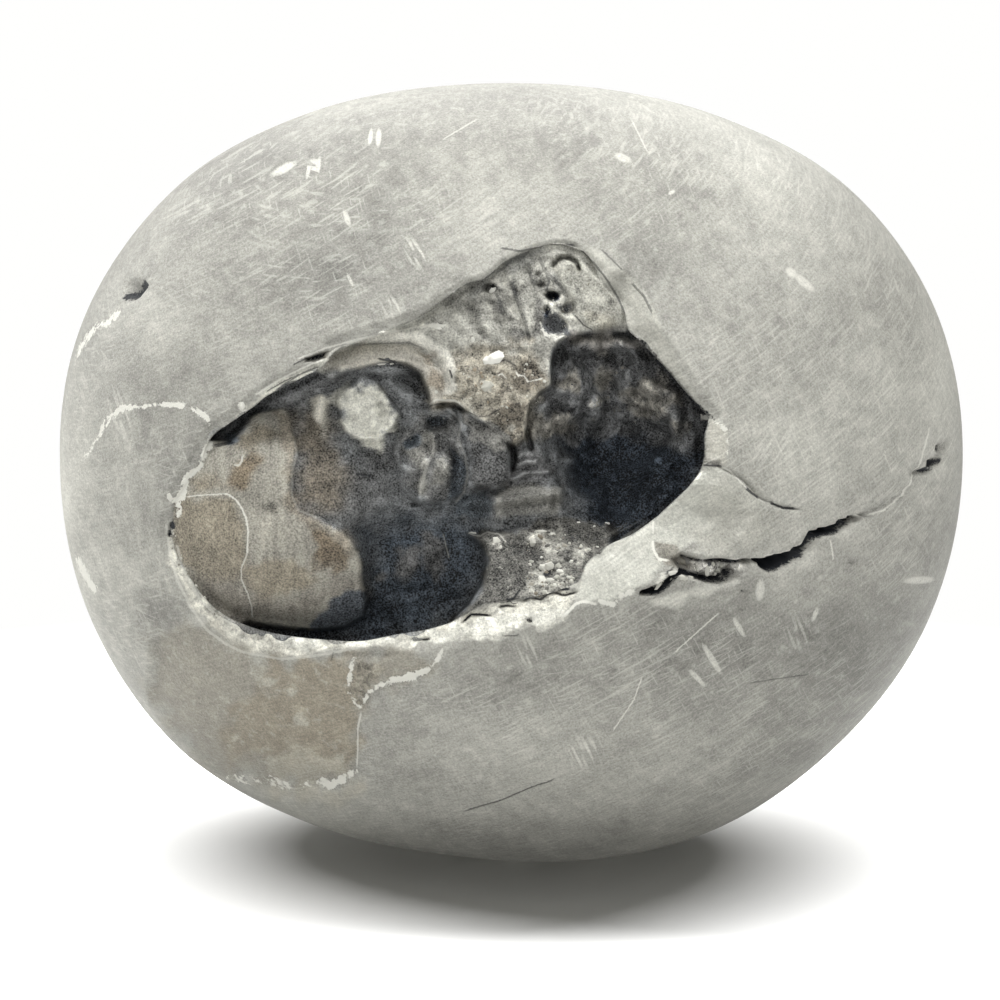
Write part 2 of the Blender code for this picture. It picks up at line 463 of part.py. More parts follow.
def stone_grid():
    """Points of the whole surface, ring by ring from the middle of the mouth to the back, about the stone's middle."""
    edge = closed_curve(from_sheet(MOUTH_EDGE), COLUMNS, crack_side)
    x, y, z = (np.vstack(pair) for pair in zip(inner_surface(edge), outer_surface(edge)))
    points = np.stack([x, y, z], axis=-1)
    flat = points.reshape(-1, 3)
    swell = 1.0 + SWELL * lattice_noise(flat, SWELL_CELL, 5) / np.linalg.norm(flat, axis=1)
    points = (flat * swell[:, None]).reshape(points.shape)
    nearer = 1.0 + points[..., 1] / EYE_DISTANCE
    points[..., 0] = EYE_AXIS[0] + (points[..., 0] - EYE_AXIS[0]) * nearer
    points[..., 2] = EYE_AXIS[1] + (points[..., 2] - EYE_AXIS[1]) * nearer
    return tilted(points)


def tilted(points):
    """Leans the stone back by MOUTH_TILT about x, so that the mouth looks a little upwards."""
    x, y, z = points[..., 0], points[..., 1], points[..., 2]
    cos, sin = math.cos(MOUTH_TILT), math.sin(MOUTH_TILT)
    return np.stack([x, y * cos + z * sin, z * cos - y * sin], axis=-1)


# --- building it --------------------------------------------------------------------------------------
def clear_scene():
    for old in list(bpy.data.objects):
        bpy.data.objects.remove(old)


def stone_material():
    material = bpy.data.materials.new("weathered_limestone")
    material.use_nodes = True
    shader = material.node_tree.nodes["Principled BSDF"]
    shader.inputs["Base Color"].default_value = STONE_COLOUR
    shader.inputs["Roughness"].default_value = 0.6
    shader.inputs["Metallic"].default_value = 0.0
    return material


def sphere_on_grid(grid):
    """A sphere primitive with one vertex for every point of the grid, each moved to its point."""
    rings = len(grid) - 1
    sphere = bmesh.new()
    bmesh.ops.create_uvsphere(sphere, u_segments=COLUMNS, v_segments=rings, radius=1.0)
    mesh = bpy.data.meshes.new("stone")
    sphere.to_mesh(mesh)
    sphere.free()
    unit = np.empty(len(mesh.vertices) * 3)
    mesh.vertices.foreach_get("co", unit)
    unit = unit.reshape(-1, 3)
    ring = np.rint(np.arccos(np.clip(unit[:, 2], -1.0, 1.0)) / math.pi * rings).astype(int)
    column = np.rint(np.arctan2(unit[:, 1], unit[:, 0]) / (2.0 * math.pi) * COLUMNS).astype(int) % COLUMNS
    mesh.vertices.foreach_set("co", grid[ring, column].ravel())
    return mesh


def flat_foot(low, size):
    """Cutter for the flat spot: a block under the stone whose top stands FOOT_CUT above the lowest point."""
    bpy.ops.mesh.primitive_cube_add(size=1.0)
    block = bpy.context.object
    block.name = "foot_cutter"
    block.scale = (size, size, size)
    bpy.ops.object.transform_apply(location=False, rotation=False, scale=True)
    block.location = (0.0, 0.0, low + FOOT_CUT * MM - size / 2.0)
    block.hide_render = True
    block.display_type = "WIRE"
    return block


def build_stone():
    grid = stone_grid() * MM
    low, high = grid.min(axis=(0, 1)), grid.max(axis=(0, 1))
    grid -= ((low[0] + high[0]) / 2.0, (low[1] + high[1]) / 2.0, low[2] + FOOT_CUT * MM)
    stone = bpy.data.objects.new("stone", sphere_on_grid(grid))
    bpy.context.scene.collection.objects.link(stone)
    stone.data.materials.append(stone_material())
    stone.data.shade_smooth()
    thin = stone.modifiers.new("fewer_faces", "DECIMATE")
    thin.ratio = KEPT_FACES
    cut = stone.modifiers.new("flat_foot", "BOOLEAN")
    cut.operation = "DIFFERENCE"
    cut.solver = "EXACT"
    cut.object = flat_foot(-FOOT_CUT * MM, CUTTER_SIZE)
    return stone


def main():
    clear_scene()
    collection = bpy.data.collections.new("shaligram_stone")
    cutters = bpy.data.collections.new("cutters")
    for made in (collection, cutters):
        bpy.context.scene.collection.children.link(made)
    stone = build_stone()
    for obj, home in ((stone, collection), (bpy.data.objects["foot_cutter"], cutters)):
        for old in obj.users_collection:
            old.objects.unlink(obj)
        home.objects.link(obj)


main()
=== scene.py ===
"""Shaligram stone: a river-worn limestone nodule broken open over the ammonite inside it.

The stone is one surface, worked out as a function of two numbers on a grid: how far out from the middle of
the mouth, and how far round it. Places on the front are read from a drawing sheet in tenths of a millimetre,
x right and y down. Sizes are in millimetres until the last step, and +Z is up with the mouth towards -Y.
"""

import math

import bpy
import numpy as np
from mathutils import Matrix, Vector


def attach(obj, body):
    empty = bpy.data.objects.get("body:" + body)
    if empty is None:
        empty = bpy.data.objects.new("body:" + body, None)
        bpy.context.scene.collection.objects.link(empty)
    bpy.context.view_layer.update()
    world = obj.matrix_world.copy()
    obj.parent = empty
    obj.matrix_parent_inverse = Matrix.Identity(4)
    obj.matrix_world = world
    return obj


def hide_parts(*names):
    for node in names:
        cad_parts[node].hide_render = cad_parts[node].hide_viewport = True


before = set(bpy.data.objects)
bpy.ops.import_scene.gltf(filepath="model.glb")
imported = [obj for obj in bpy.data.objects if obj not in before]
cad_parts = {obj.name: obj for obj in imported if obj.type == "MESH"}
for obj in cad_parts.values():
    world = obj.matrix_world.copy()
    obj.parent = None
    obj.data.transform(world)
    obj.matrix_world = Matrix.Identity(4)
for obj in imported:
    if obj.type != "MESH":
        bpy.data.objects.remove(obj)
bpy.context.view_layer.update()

MM = 0.001

# --- the whole stone ---
SHEET_SCALE = 10.0  # sheet units to a mm
SHEET_MIDDLE = (51.2, 47.2)  # where the stone's middle is on the sheet, in mm
# Radius of the front outline every 20 degrees of turn, from the right anticlockwise.
OUTLINE_RADII = (
    45, 45.2, 43.8, 41, 39.3, 39.3, 41.1, 44.1, 45.6, 45, 44.5, 43.3, 40.7, 39.1, 39.7, 41.2, 42.3, 43.9,
)
FRONT_BULGE = 36.0
BACK_BULGE = 34.5
SQUARENESS = 0.93  # 1 is an ellipse, and less is squarer
SWELL = 0.45  # how far the skin swells in and out
SWELL_SIZE = 24.0
CRACK_TURN = -18.0  # where the main crack leaves the mouth, in degrees round it
CRACK_COLUMNS = (0.9, 26.0)  # how much closer the columns stand there, and over how many degrees
HOLLOWS_FROM = (-0.02, 0.15)  # how far forward the skin must face to have marks, and how soon they are full
LEAN_REACH = 14.0  # how far from the mouth marks sink towards the stone's middle, not straight in
STRAIGHT_IN = 30.0
MOUTH_TILT = math.radians(10.0)
EYE_DISTANCE = 555.0
EYE_AXIS = (-1.2, -2.8)  # x and z, from the stone's middle, of what the eye looks at squarely
STONE_MIDDLE = (0.07, 0.36, 38.9)  # where the middle of the round stone stands over the floor

# --- the mouth ---
MOUTH_EDGE = (
    (708, 418), (697, 405), (683, 389), (667, 370), (642, 343), (628, 330), (624, 314), (617, 299),
    (606, 287), (595, 270), (586, 256), (572, 248), (555, 245), (538, 249), (519, 256), (503, 265),
    (487, 279), (468, 285), (445, 300), (420, 318), (392, 330), (360, 342), (335, 352), (324, 366),
    (305, 376), (287, 385), (266, 396), (252, 407), (230, 422), (214, 433), (205, 445), (199, 461),
    (187, 476), (182, 488), (173, 502), (171, 518), (170, 535), (172, 548), (180, 564), (192, 583),
    (206, 602), (224, 617), (245, 627), (269, 634), (293, 638), (325, 641), (357, 642), (381, 638),
    (400, 634), (424, 630), (448, 623), (465, 614), (485, 603), (510, 600), (540, 595), (560, 589),
    (578, 581), (586, 563), (606, 546), (632, 534), (656, 517), (669, 505), (689, 486), (700, 470),
    (704, 456), (704, 436),
)
# The lip's chamfer: turn in degrees, width and drop.
LIP = (
    (2, 1.6, 1), (20, 1.4, 1.1), (40, 2.4, 1.5), (60, 2.8, 1.8), (64, 1.2, 1), (72, 0.7, 0.6), (85, 0.5, 0.4),
    (110, 0.7, 0.5), (145, 1.6, 0.8), (170, 1.2, 0.7), (190, 1.2, 0.7), (205, 1.7, 1.1), (225, 2.1, 1.3),
    (245, 2.3, 1.3), (265, 3.2, 1.4), (290, 2.6, 1.3), (303, 2.4, 1.2), (312, 4.6, 2), (326, 5.6, 2.6),
    (340, 7.4, 3), (350, 7, 2.6), (356, 2.6, 1.4),
)
WALL_START = 0.93  # share of the inner rings that lie on the mouth's floor
WALL_FOOT = 0.985  # share of the way out to the edge that the floor reaches
UNDERCUT = 0.30

# --- the grid ---
COLUMNS = 540
INNER_RINGS = 102
OUTER_RINGS = 76
FINE_RINGS = 26  # outer rings that stay close together
FINE_STEP = 0.36
STEP_GROWTH = 1.07


# --- tools for shaping ---
def from_sheet(places):
    """Sheet places (right, down) as (x, z) in mm, measured from the middle of the stone."""
    places = np.asarray(places, float) / SHEET_SCALE
    return np.stack([places[:, 0] - SHEET_MIDDLE[0], SHEET_MIDDLE[1] - places[:, 1]], axis=1)


def eased(share):
    """A share cut to 0..1 and eased at both ends: 3s^2 - 2s^3."""
    share = np.clip(share, 0.0, 1.0)
    return share * share * (3.0 - 2.0 * share)


def lattice_noise(points, cell, seed):
    """Noise from -1 to 1: each corner of a lattice of cubes has a hashed value, a point blends its eight."""
    place = np.asarray(points, float) / cell
    corner = np.floor(place).astype(np.int64)
    part = place - corner
    part = part * part * (3.0 - 2.0 * part)
    total = np.zeros(len(place))
    for step in np.ndindex(2, 2, 2):
        key = (corner + step) @ np.array([73856093, 19349663, 83492791]) + seed * 7919
        key = (key ^ (key >> 13)) * 1274126177
        value = ((key ^ (key >> 16)) & 0xFFFF) / 32767.5 - 1.0
        total += value * np.prod(np.where(step, part, 1.0 - part), axis=1)
    return total


def sheet_noise(x, z, cell, seed, octaves=3):
    """Noise on the sheet: octaves of lattice noise, each half the size and strength of the one before."""
    flat = np.stack([x.ravel(), np.zeros(x.size), z.ravel()], axis=1)
    total = sum(lattice_noise(flat + 37.7 * n, cell / 2**n, seed + n) / 2**n for n in range(octaves))
    return total.reshape(x.shape)


def around(values, degrees):
    """Values given every equal step of a full turn, read at any angle by a Catmull-Rom curve."""
    values = np.asarray(values, float)
    place = np.asarray(degrees, float) / 360.0 * len(values)
    low = np.floor(place).astype(int)
    share = place - low
    before, start, end, after = (values[(low + n) % len(values)] for n in (-1, 0, 1, 2))
    return start + 0.5 * share * (end - before + share * (2 * before - 5 * start + 4 * end - after
                                                           + share * (3 * (start - end) + after - before)))


def closed_curve(places, count, weight):
    """`count` places along the smooth closed curve through `places`, evenly spaced by length times weight."""
    fine = 16 * len(places)
    turn = np.arange(fine) * 360.0 / fine
    dense = np.stack([around(places[:, 0], turn), around(places[:, 1], turn)], axis=1)
    steps = np.linalg.norm(np.roll(dense, -1, axis=0) - dense, axis=1) * weight(dense)
    length = np.concatenate([[0.0], np.cumsum(steps)])
    wanted = np.arange(count) * length[-1] / count
    looped = np.vstack([dense, dense[:1]])
    return np.stack([np.interp(wanted, length, column) for column in looped.T], axis=1)


def path_distance(x, z, path):
    """Distance of each place from an open path, how far along it (0 to 1) the nearest point is, and side."""
    path = from_sheet(path)
    lengths = np.linalg.norm(np.diff(path, axis=0), axis=1)
    best = np.full(x.shape, np.inf)
    along = np.zeros(x.shape)
    side = np.ones(x.shape)
    done = 0.0
    for (ax, az), (bx, bz), length in zip(path[:-1], path[1:], lengths):
        share = np.clip(((x - ax) * (bx - ax) + (z - az) * (bz - az)) / length**2, 0.0, 1.0)
        gap = np.hypot(x - ax - share * (bx - ax), z - az - share * (bz - az))
        nearer = gap < best
        best = np.where(nearer, gap, best)
        along = np.where(nearer, (done + share * length) / lengths.sum(), along)
        side = np.where(nearer, np.sign((bx - ax) * (z - az) - (bz - az) * (x - ax)), side)
        done += length
    return best, along, side


def inside_distance(x, z, outline):
    """Distance of each place from a closed outline, positive inside it and negative outside."""
    gap = path_distance(x, z, (*outline, outline[0]))[0]
    corners = from_sheet(outline)
    inside = np.zeros(x.shape, bool)
    for (ax, az), (bx, bz) in zip(corners, np.roll(corners, -1, axis=0)):
        if az != bz:
            inside ^= ((az > z) != (bz > z)) & (x < ax + (z - az) * (bx - ax) / (bz - az))
    return np.where(inside, gap, -gap)


def within(x, z, outline, edge):
    """1 inside a closed outline and 0 outside it, easing over `edge` across the line."""
    return eased(0.5 + inside_distance(x, z, outline) / edge)


def turned(x, z, middle, degrees):
    """Each place as seen from a middle: how far along a direction of this turn, and how far across it."""
    (mx, mz), turn = from_sheet([middle])[0], math.radians(degrees)
    along = (x - mx) * math.cos(turn) + (z - mz) * math.sin(turn)
    return along, (z - mz) * math.cos(turn) - (x - mx) * math.sin(turn)


def width_along(along, half_width):
    """A path's half width, which may vary along it, at each place's share of the path."""
    widths = np.atleast_1d(half_width)
    return np.interp(along, np.linspace(0.0, 1.0, len(widths)), widths)


def bump(x, z, middle, radii, degrees=0.0):
    """A bump: 1 at its middle, falling as a parabola to 0 on an ellipse of these radii and this turn."""
    along, across = turned(x, z, middle, degrees)
    return np.clip(1.0 - (along / radii[0]) ** 2 - (across / radii[1]) ** 2, 0.0, 1.0)


def groove(x, z, path, half_width, depth):
    """A groove along a path: full depth on its line, none past its half width, which may vary along it."""
    gap, along, _ = path_distance(x, z, path)
    return depth * eased(1.0 - gap / np.maximum(width_along(along, half_width), 0.01))


def bumps(x, z, table):
    """Sum of a table's bumps: middle, radii, turn in degrees and height."""
    return sum(tall * bump(x, z, middle, radii, degrees) for middle, radii, degrees, tall in table)


def domes(x, z, table):
    """Sum of a table's domes, which are square roots of bumps, so that their sides stand steep."""
    return sum(tall * np.sqrt(bump(x, z, middle, radii, degrees)) for middle, radii, degrees, tall in table)


def grooves(x, z, table):
    """Sum of a table's grooves: path, half width and depth."""
    return sum(groove(x, z, path, half_width, deep) for path, half_width, deep in table)


def layered(depth, share, value):
    """`value` laid over `depth` by a share from 0 to 1."""
    return depth + share * (value - depth)


# --- the round outside ---
def outline_radius(x, z):
    """Radius of the front outline at each place's own turn, on a smooth curve through OUTLINE_RADII."""
    return around(OUTLINE_RADII, np.degrees(np.arctan2(z, x)) % 360.0)


def skin_depth(x, z):
    """y of the unbroken front behind sheet place (x, z): a superellipse bulging towards -y."""
    share = np.clip(np.hypot(x, z) / outline_radius(x, z), 0.0, 1.0) ** (1.0 / SQUARENESS)
    return -FRONT_BULGE * np.sqrt(1.0 - share**2) ** SQUARENESS


def skin_angle(x, z):
    """Angle from the front pole to sheet place (x, z) on the unbroken front."""
    share = np.clip(np.hypot(x, z) / outline_radius(x, z), 0.0, 1.0)
    return np.arcsin(share ** (1.0 / SQUARENESS))


# --- what is cut into the outside ---
MAIN_CRACK = (
    (747, 562), (755, 560), (762, 562), (767, 567), (775, 563), (787, 559), (798, 554), (806, 548),
    (810, 542), (816, 535), (824, 531), (834, 531), (842, 526), (852, 520), (863, 515),
)
MAIN_CRACK_WIDTHS = (0.25, 0.25, 0.4, 0.9, 0.8, 0.6, 0.55, 0.55, 0.5, 0.45, 0.4, 0.55, 0.5, 0.4, 0.2)
LOWER_CRACK = (
    (642, 593), (650, 592), (660, 589), (668, 583), (676, 576), (684, 573), (694, 577), (710, 582),
    (727, 581), (742, 573),
)
LOWER_CRACK_WIDTHS = (0.3, 0.6, 0.5, 0.45, 0.4, 0.3, 0.3, 0.35, 0.35, 0.25)
HOLLOW_CRACK = ((683, 556), (691, 561), (704, 562), (721, 561), (736, 564), (748, 561))
CRACK_TAIL = ((860, 516), (885, 506), (905, 492), (925, 470))
CHIPPED_PIT = (
    (675, 560), (687, 557), (710, 561), (747, 561), (743, 572), (727, 582), (710, 582), (693, 576),
    (680, 570),
)
SIDE_CRACK = ((718, 466), (743, 479), (756, 493), (764, 500), (780, 506), (799, 509))
LIP_SLIT = ((306, 360), (317, 357), (328, 354))
# Short cracks along the lower lip.
LEDGE_CRACKS = (
    ((523, 600), (530, 597), (541, 599), (547, 594), (554, 592), (564, 595), (576, 592)),
    ((500, 606), (507, 605), (516, 606)), ((464, 621), (471, 614), (479, 614), (490, 615)),
    ((506, 599), (513, 599), (516, 594), (520, 589)), ((414, 640), (429, 639)),
)
FLAKE_SCAR = (
    (150, 640), (205, 625), (250, 655), (300, 662), (345, 652), (392, 650), (426, 660), (433, 671),
    (410, 679), (385, 688), (371, 700), (358, 722), (356, 775), (343, 786), (319, 789), (277, 787),
    (255, 782), (217, 776), (180, 745), (150, 700),
)
FLAKE_DEPTH = 0.45
CHIP_DEPTH = 1.5
CHIP_CRUMBLE = 0.6  # how far the chipped pit's floor rises and falls, as a share of its depth
BREAK_EDGE = 0.7  # how far the sides of the scar and the chipped pit slope
# Grooves in the skin: path, half width along it and depth.
SKIN_GROOVES = (
    (MAIN_CRACK, MAIN_CRACK_WIDTHS, 2.8), (LOWER_CRACK, LOWER_CRACK_WIDTHS, 1.8),
    (HOLLOW_CRACK, (0.3, 0.4, 0.35, 0.3), 0.8), (CRACK_TAIL, (0.35, 0.3, 0.3), 0.35),
    (SIDE_CRACK, (0.2, 0.25, 0.35, 0.25), 0.35), (LIP_SLIT, (0.2, 0.5, 0.4), 1.6),
    *((crack, 0.3, 0.5) for crack in LEDGE_CRACKS),
)
# Pits in the skin: middle, radii, turn in degrees and depth.
SKIN_PITS = (
    ((137, 290), (1.3, 0.75), 50, 1.3), ((935, 463), (0.9, 0.6), 40, 1.6), ((922, 472), (0.7, 0.5), 20, 1),
    ((942, 448), (0.5, 0.8), 0, 0.8), ((171, 526), (0.35, 0.5), 0, 0.7), ((169, 534), (0.35, 0.3), 0, 0.6),
    ((131, 300), (0.35, 0.3), 0, 0.4), ((124, 306), (0.3, 0.3), 0, 0.3), ((745, 592), (0.3, 0.3), 0, 0.3),
    ((664, 621), (0.6, 0.35), 0, 0.25), ((854, 563), (0.3, 0.4), 0, 0.3), ((529, 619.5), (0.3, 0.25), 0, 0.5),
    ((695, 473), (0.55, 0.6), 0, 0.35),
)
ROUGH_REACH = 3.0  # how far from the mouth's edge the skin is still rough
ROUGH_WAVE = 0.22
ROUGH_FINE = 0.12


def lip_drop(x, z, outside):
    """Chamfer of the lip: full drop at the mouth's edge, falling to nothing at the lip's width."""
    degrees, widths, drops = np.array(LIP, float).T
    turn = np.degrees(np.arctan2(z, x)) % 360.0
    width = np.interp(turn, degrees, widths, period=360.0)
    drop = np.interp(turn, degrees, drops, period=360.0)
    return drop * np.clip(1.0 - outside / width, 0.0, 1.0)


def skin_hollows(x, z, outside):
    """Depth of the lip, cracks, pits and the flake scar at places of the front outside the mouth."""
    crumble = 1.0 + CHIP_CRUMBLE * sheet_noise(x, z, 1.2, 31, 2)
    depth = lip_drop(x, z, outside) + CHIP_DEPTH * within(x, z, CHIPPED_PIT, BREAK_EDGE) * crumble
    depth += grooves(x, z, SKIN_GROOVES) + FLAKE_DEPTH * within(x, z, FLAKE_SCAR, BREAK_EDGE)
    depth += bumps(x, z, SKIN_PITS)
    rough = ROUGH_WAVE * sheet_noise(x, z, 1.9, 71) + ROUGH_FINE * np.abs(sheet_noise(x, z, 0.9, 73, 2))
    return depth + rough * eased(1.0 - outside / ROUGH_REACH)


# --- what is inside the mouth ---
LEFT_WHORL = (
    (210, 439), (229, 442), (240, 431), (250, 415), (259, 411), (282, 408), (286, 413), (288, 420),
    (289, 431), (295, 442), (296, 449), (294, 460), (290, 475), (289, 485), (290, 496), (295, 509),
    (304, 517), (317, 519), (330, 526), (341, 533), (350, 542), (357, 554), (361, 569), (362, 586),
    (366, 602), (362, 618), (344, 628), (316, 632), (286, 630), (256, 626), (234, 622), (210, 612),
    (195, 600), (170, 576), (155, 540), (155, 500), (180, 460),
)
# The whorl's own surface: least depth, where it starts to round over at left, below and above, and how fast.
WHORL_DEPTH = 0.7
WHORL_STARTS = (-34.5, -6.5, -0.5)
WHORL_CURVES = (0.012, 0.045, 0.06)
WHORL_WAVE = 0.10
LAYER_STEP = 0.7  # thickness of the layer that is broken off the whorl
CHAMBER_X = -21.0  # where the broken chamber begins
# Its floor: depth there, slope to the right and upwards, least and greatest depth, height of its lumps.
CHAMBER_FLOOR = (7.4, 0.12, -0.16)
CHAMBER_RANGE = (6.4, 11.5)
CHAMBER_LUMPS = 0.30
OVERHANG_GAP = 5.0  # depth of the gap under the upper edge
TOP_GAP_BELOW = (
    (150, 700), (150, 490), (204, 450), (222, 444), (234, 436), (246, 419), (274, 409), (304, 394),
    (330, 380), (360, 374), (750, 372), (750, 700),
)
UPPER_SHELF = (
    (636, 332), (619, 331), (611, 330), (576, 334), (560, 342), (554, 350), (551, 367), (551, 386),
    (540, 393), (530, 403), (528, 415), (524, 438), (515, 444), (506, 441), (501, 436), (486, 424),
    (474, 419), (464, 410), (455, 403), (442, 402), (433, 406), (429, 398), (426, 387), (420, 374),
    (409, 365), (394, 361), (378, 363), (350, 370), (330, 379), (315, 370), (320, 330), (420, 290),
    (500, 220), (600, 220), (640, 280), (650, 320),
)
SHELF_ARC = ((330, 352), (364, 344), (408, 343), (425, 350), (437, 362), (450, 384))
PALE_PATCH = (
    (554, 268), (560, 261), (584, 265), (606, 286), (620, 306), (624, 324), (591, 331), (577, 315),
    (575, 302), (563, 288),
)
PATCH_SLIT = ((554, 266), (560, 259), (570, 259), (576, 263), (579, 269))
LOWER_BANK = (
    (469, 534), (473, 535), (480, 536), (487, 532), (499, 533), (516, 530), (529, 526), (539, 520),
    (556, 522), (578, 522), (607, 524), (615, 534), (611, 544), (600, 580), (580, 610), (500, 630),
    (440, 645), (455, 619), (470, 604), (483, 584), (488, 564), (485, 546),
)
LOWER_POCKET = (
    (364, 532), (400, 516), (440, 514), (470, 520), (482, 536), (487, 560), (482, 586), (464, 608),
    (424, 634), (380, 645), (330, 648), (260, 640), (236, 628), (285, 624), (304, 617), (322, 604),
    (345, 593), (363, 589), (368, 560),
)
RIGHT_POCKET = (
    (543, 392), (551, 384), (551, 367), (556, 344), (576, 334), (611, 330), (619, 331), (631, 338),
    (641, 341), (653, 359), (663, 367), (677, 383), (691, 399), (717, 421), (704, 420), (703, 454),
    (698, 470), (691, 481), (670, 504), (656, 513), (632, 532), (610, 536), (589, 526), (564, 517),
    (552, 502), (546, 489), (540, 470), (532, 450), (530, 430), (534, 406),
)
SECOND_LOBE = (
    (457, 409), (474, 414), (492, 422), (508, 439), (510, 466), (509, 484), (496, 490), (476, 490),
    (469, 486), (471, 460), (462, 434),
)
KNOB_RIM = (
    (434, 409), (450, 408), (460, 416), (460, 438), (465, 450), (470, 460), (471, 470), (469, 480),
    (465, 493),
)
KNOB_EDGE = ((394, 446), (396, 454), (400, 465), (407, 470), (416, 471))
KNOB_RIB = ((434, 434), (435, 449), (428, 460), (424, 475), (421, 485), (419, 498))
# The finger beside the pale blotch stands out, the hollow at the arc's end sinks in: height over the floor.
CHAMBER_BUMPS = (((318, 414), (0.8, 2.6), -8, -0.9), ((410, 376), (2, 1.7), -40, 1.1))
BLOTCH_HEIGHT = 1.3
PALE_BLOTCH = (
    (361, 375), (354, 384), (341, 391), (337, 400), (340, 422), (346, 433), (359, 439), (373, 439),
    (378, 442), (384, 435), (393, 427), (399, 413), (392, 402), (381, 389), (377, 380),
)
# The knob: depth of its foot, height, middle, radii and reach; then its domes, dents and ribs.
KNOB_FOOT = 9.0
KNOB_DOMES = (
    ((432, 456), (4.2, 5.4), 0, 3), ((416, 458), (1.5, 1.4), 20, 0.8), ((440, 470), (1.3, 1.9), 0, 0.9),
)
KNOB_DENTS = (((439, 424), (1.4, 0.9), 0, 1.2), ((412, 441), (0.9, 0.5), 30, 0.9))
KNOB_RIBS = ((KNOB_RIB, 0.5, 0.7), (KNOB_EDGE, 0.4, 0.6))
KNOB_REACH = ((432, 456), (4.4, 5.6))
KNOB_WAVE = 0.26
SECOND_DEPTH = 5.8
SECOND_BUMPS = (((490, 469), (2.2, 2.2), 0, 0.5), ((486, 438), (2, 1.6), 0, 0.4))
SECOND_WAVE = 0.22
# Slits of the coil's middle, and its ribs, whose depth is negative: path, half width and depth.
COIL_GROOVES = (
    (KNOB_RIM, 0.45, -0.6), (((512, 443), (514, 454), (512, 470)), 0.45, 1),
    (((474, 488), (494, 490), (509, 483)), 0.45, 1), (((413, 504), (445, 504)), 0.45, 1),
    (((452, 444), (455, 464), (454, 488)), 0.45, 1), (((527, 430), (531, 449)), 0.45, 1),
    (((518, 455), (526, 451), (532, 453)), 0.45, -0.7), (((515, 465), (526, 461), (536, 461)), 0.45, -0.7),
    (((512, 479), (526, 473), (547, 472)), 0.45, -0.7),
    (((496, 502), (530, 496), (560, 494)), (0.9, 1.2, 0.9), -1.1),
    (((466, 503), (480, 500), (493, 502)), (0.9, 1.2, 0.9), -1.1),
)
RIBBED_WHORL = (
    (450, 302), (480, 282), (520, 260), (546, 266), (544, 310), (536, 340), (505, 344), (474, 336),
    (446, 330),
)
RIB_PITCH = 2.1
RIB_LEAN = 0.6
RIB_BEND = 0.05
RIB_WANDER = 0.5
RIB_HEIGHT = 0.17
# The shelf: depth at its top, slope inwards, how deep it steps down at the arc, and height of its crust.
SHELF_DEPTH = 1.1
SHELF_TOP = 22.0
SHELF_SLOPE = 0.20
ARC_STEP = 0.5
ARC_REACH = 1.2
CRUST_WAVE = 0.30
CRUST_FINE = 0.26
PATCH_HEIGHT = 0.7
SHELF_GROOVES = ((PATCH_SLIT, 0.35, 1.6), (SHELF_ARC, 0.3, 0.3))
SHELF_PITS = (
    ((552, 296), (0.75, 0.5), 0, 2.4), ((556, 326), (1.3, 1.1), -30, 1.3), ((567, 309), (0.8, 0.65), 40, 1),
    ((490, 289), (0.7, 0.6), 0, 1.1), ((456, 378), (0.35, 0.6), 0, 0.6), ((547, 311), (0.3, 0.5), 0, 0.9),
    ((541, 286), (0.4, 0.3), 0, 0.8), ((538, 275), (0.35, 0.25), 30, 0.6), ((579, 269), (0.25, 0.3), 0, 0.7),
)
# The right pocket: depth at its rim, how much deeper it is inside, over what distance; then its lumps.
POCKET_RIM = 8.8
POCKET_FALL = 8.0
POCKET_REACH = 7.5
POCKET_WAVES = (0.8, -0.6, 0.4)
LUMP_SCALE = 1.3
POCKET_LUMPS = (
    ((624, 378), (0.8, 1.3), 20, 1.2), ((649, 386), (1.3, 0.9), 0, 1), ((666, 408), (1.8, 1.8), -30, 1.4),
    ((676, 424), (0.6, 1.1), 0, 1.2), ((594, 408), (0.8, 1.4), 0, 1.3), ((566, 388), (1.2, 0.6), 10, 0.9),
    ((564, 418), (1.3, 0.6), 0, 1), ((588, 344), (1.6, 0.9), 0, 1.2), ((626, 342), (1.8, 0.8), 10, 1.2),
    ((604, 372), (1.2, 1), 0, 0.7),
)
# The bank: depth at its foot, where that is, slope, least and greatest depth, and height of its crust.
BANK_DEPTH = 1.2
BANK_FOOT = -12.6
BANK_SLOPE = 0.95
BANK_RANGE = (1.0, 8.0)
BANK_CRUST = 0.40
# The coil's general depth and its slope to the right; the lower pocket's depth and the lobes in it.
COIL_DEPTH = 8.6
COIL_SLOPE = 0.05
LOWER_DEPTH = 11.4
LOWER_LOBE = ((406, 560), (3.6, 3.4), 0, 1.4)


def whorl(x, z):
    """The body chamber's filling: flush with the left lip, then a parabola to the right, below and above."""
    left, bottom, top = WHORL_STARTS
    ways = (x - left, np.maximum(0.0, bottom - z), np.maximum(0.0, z - top))
    fall = sum(curve * way**2 for curve, way in zip(WHORL_CURVES, ways))
    return WHORL_DEPTH + fall + WHORL_WAVE * sheet_noise(x, z, 3.4, 7)


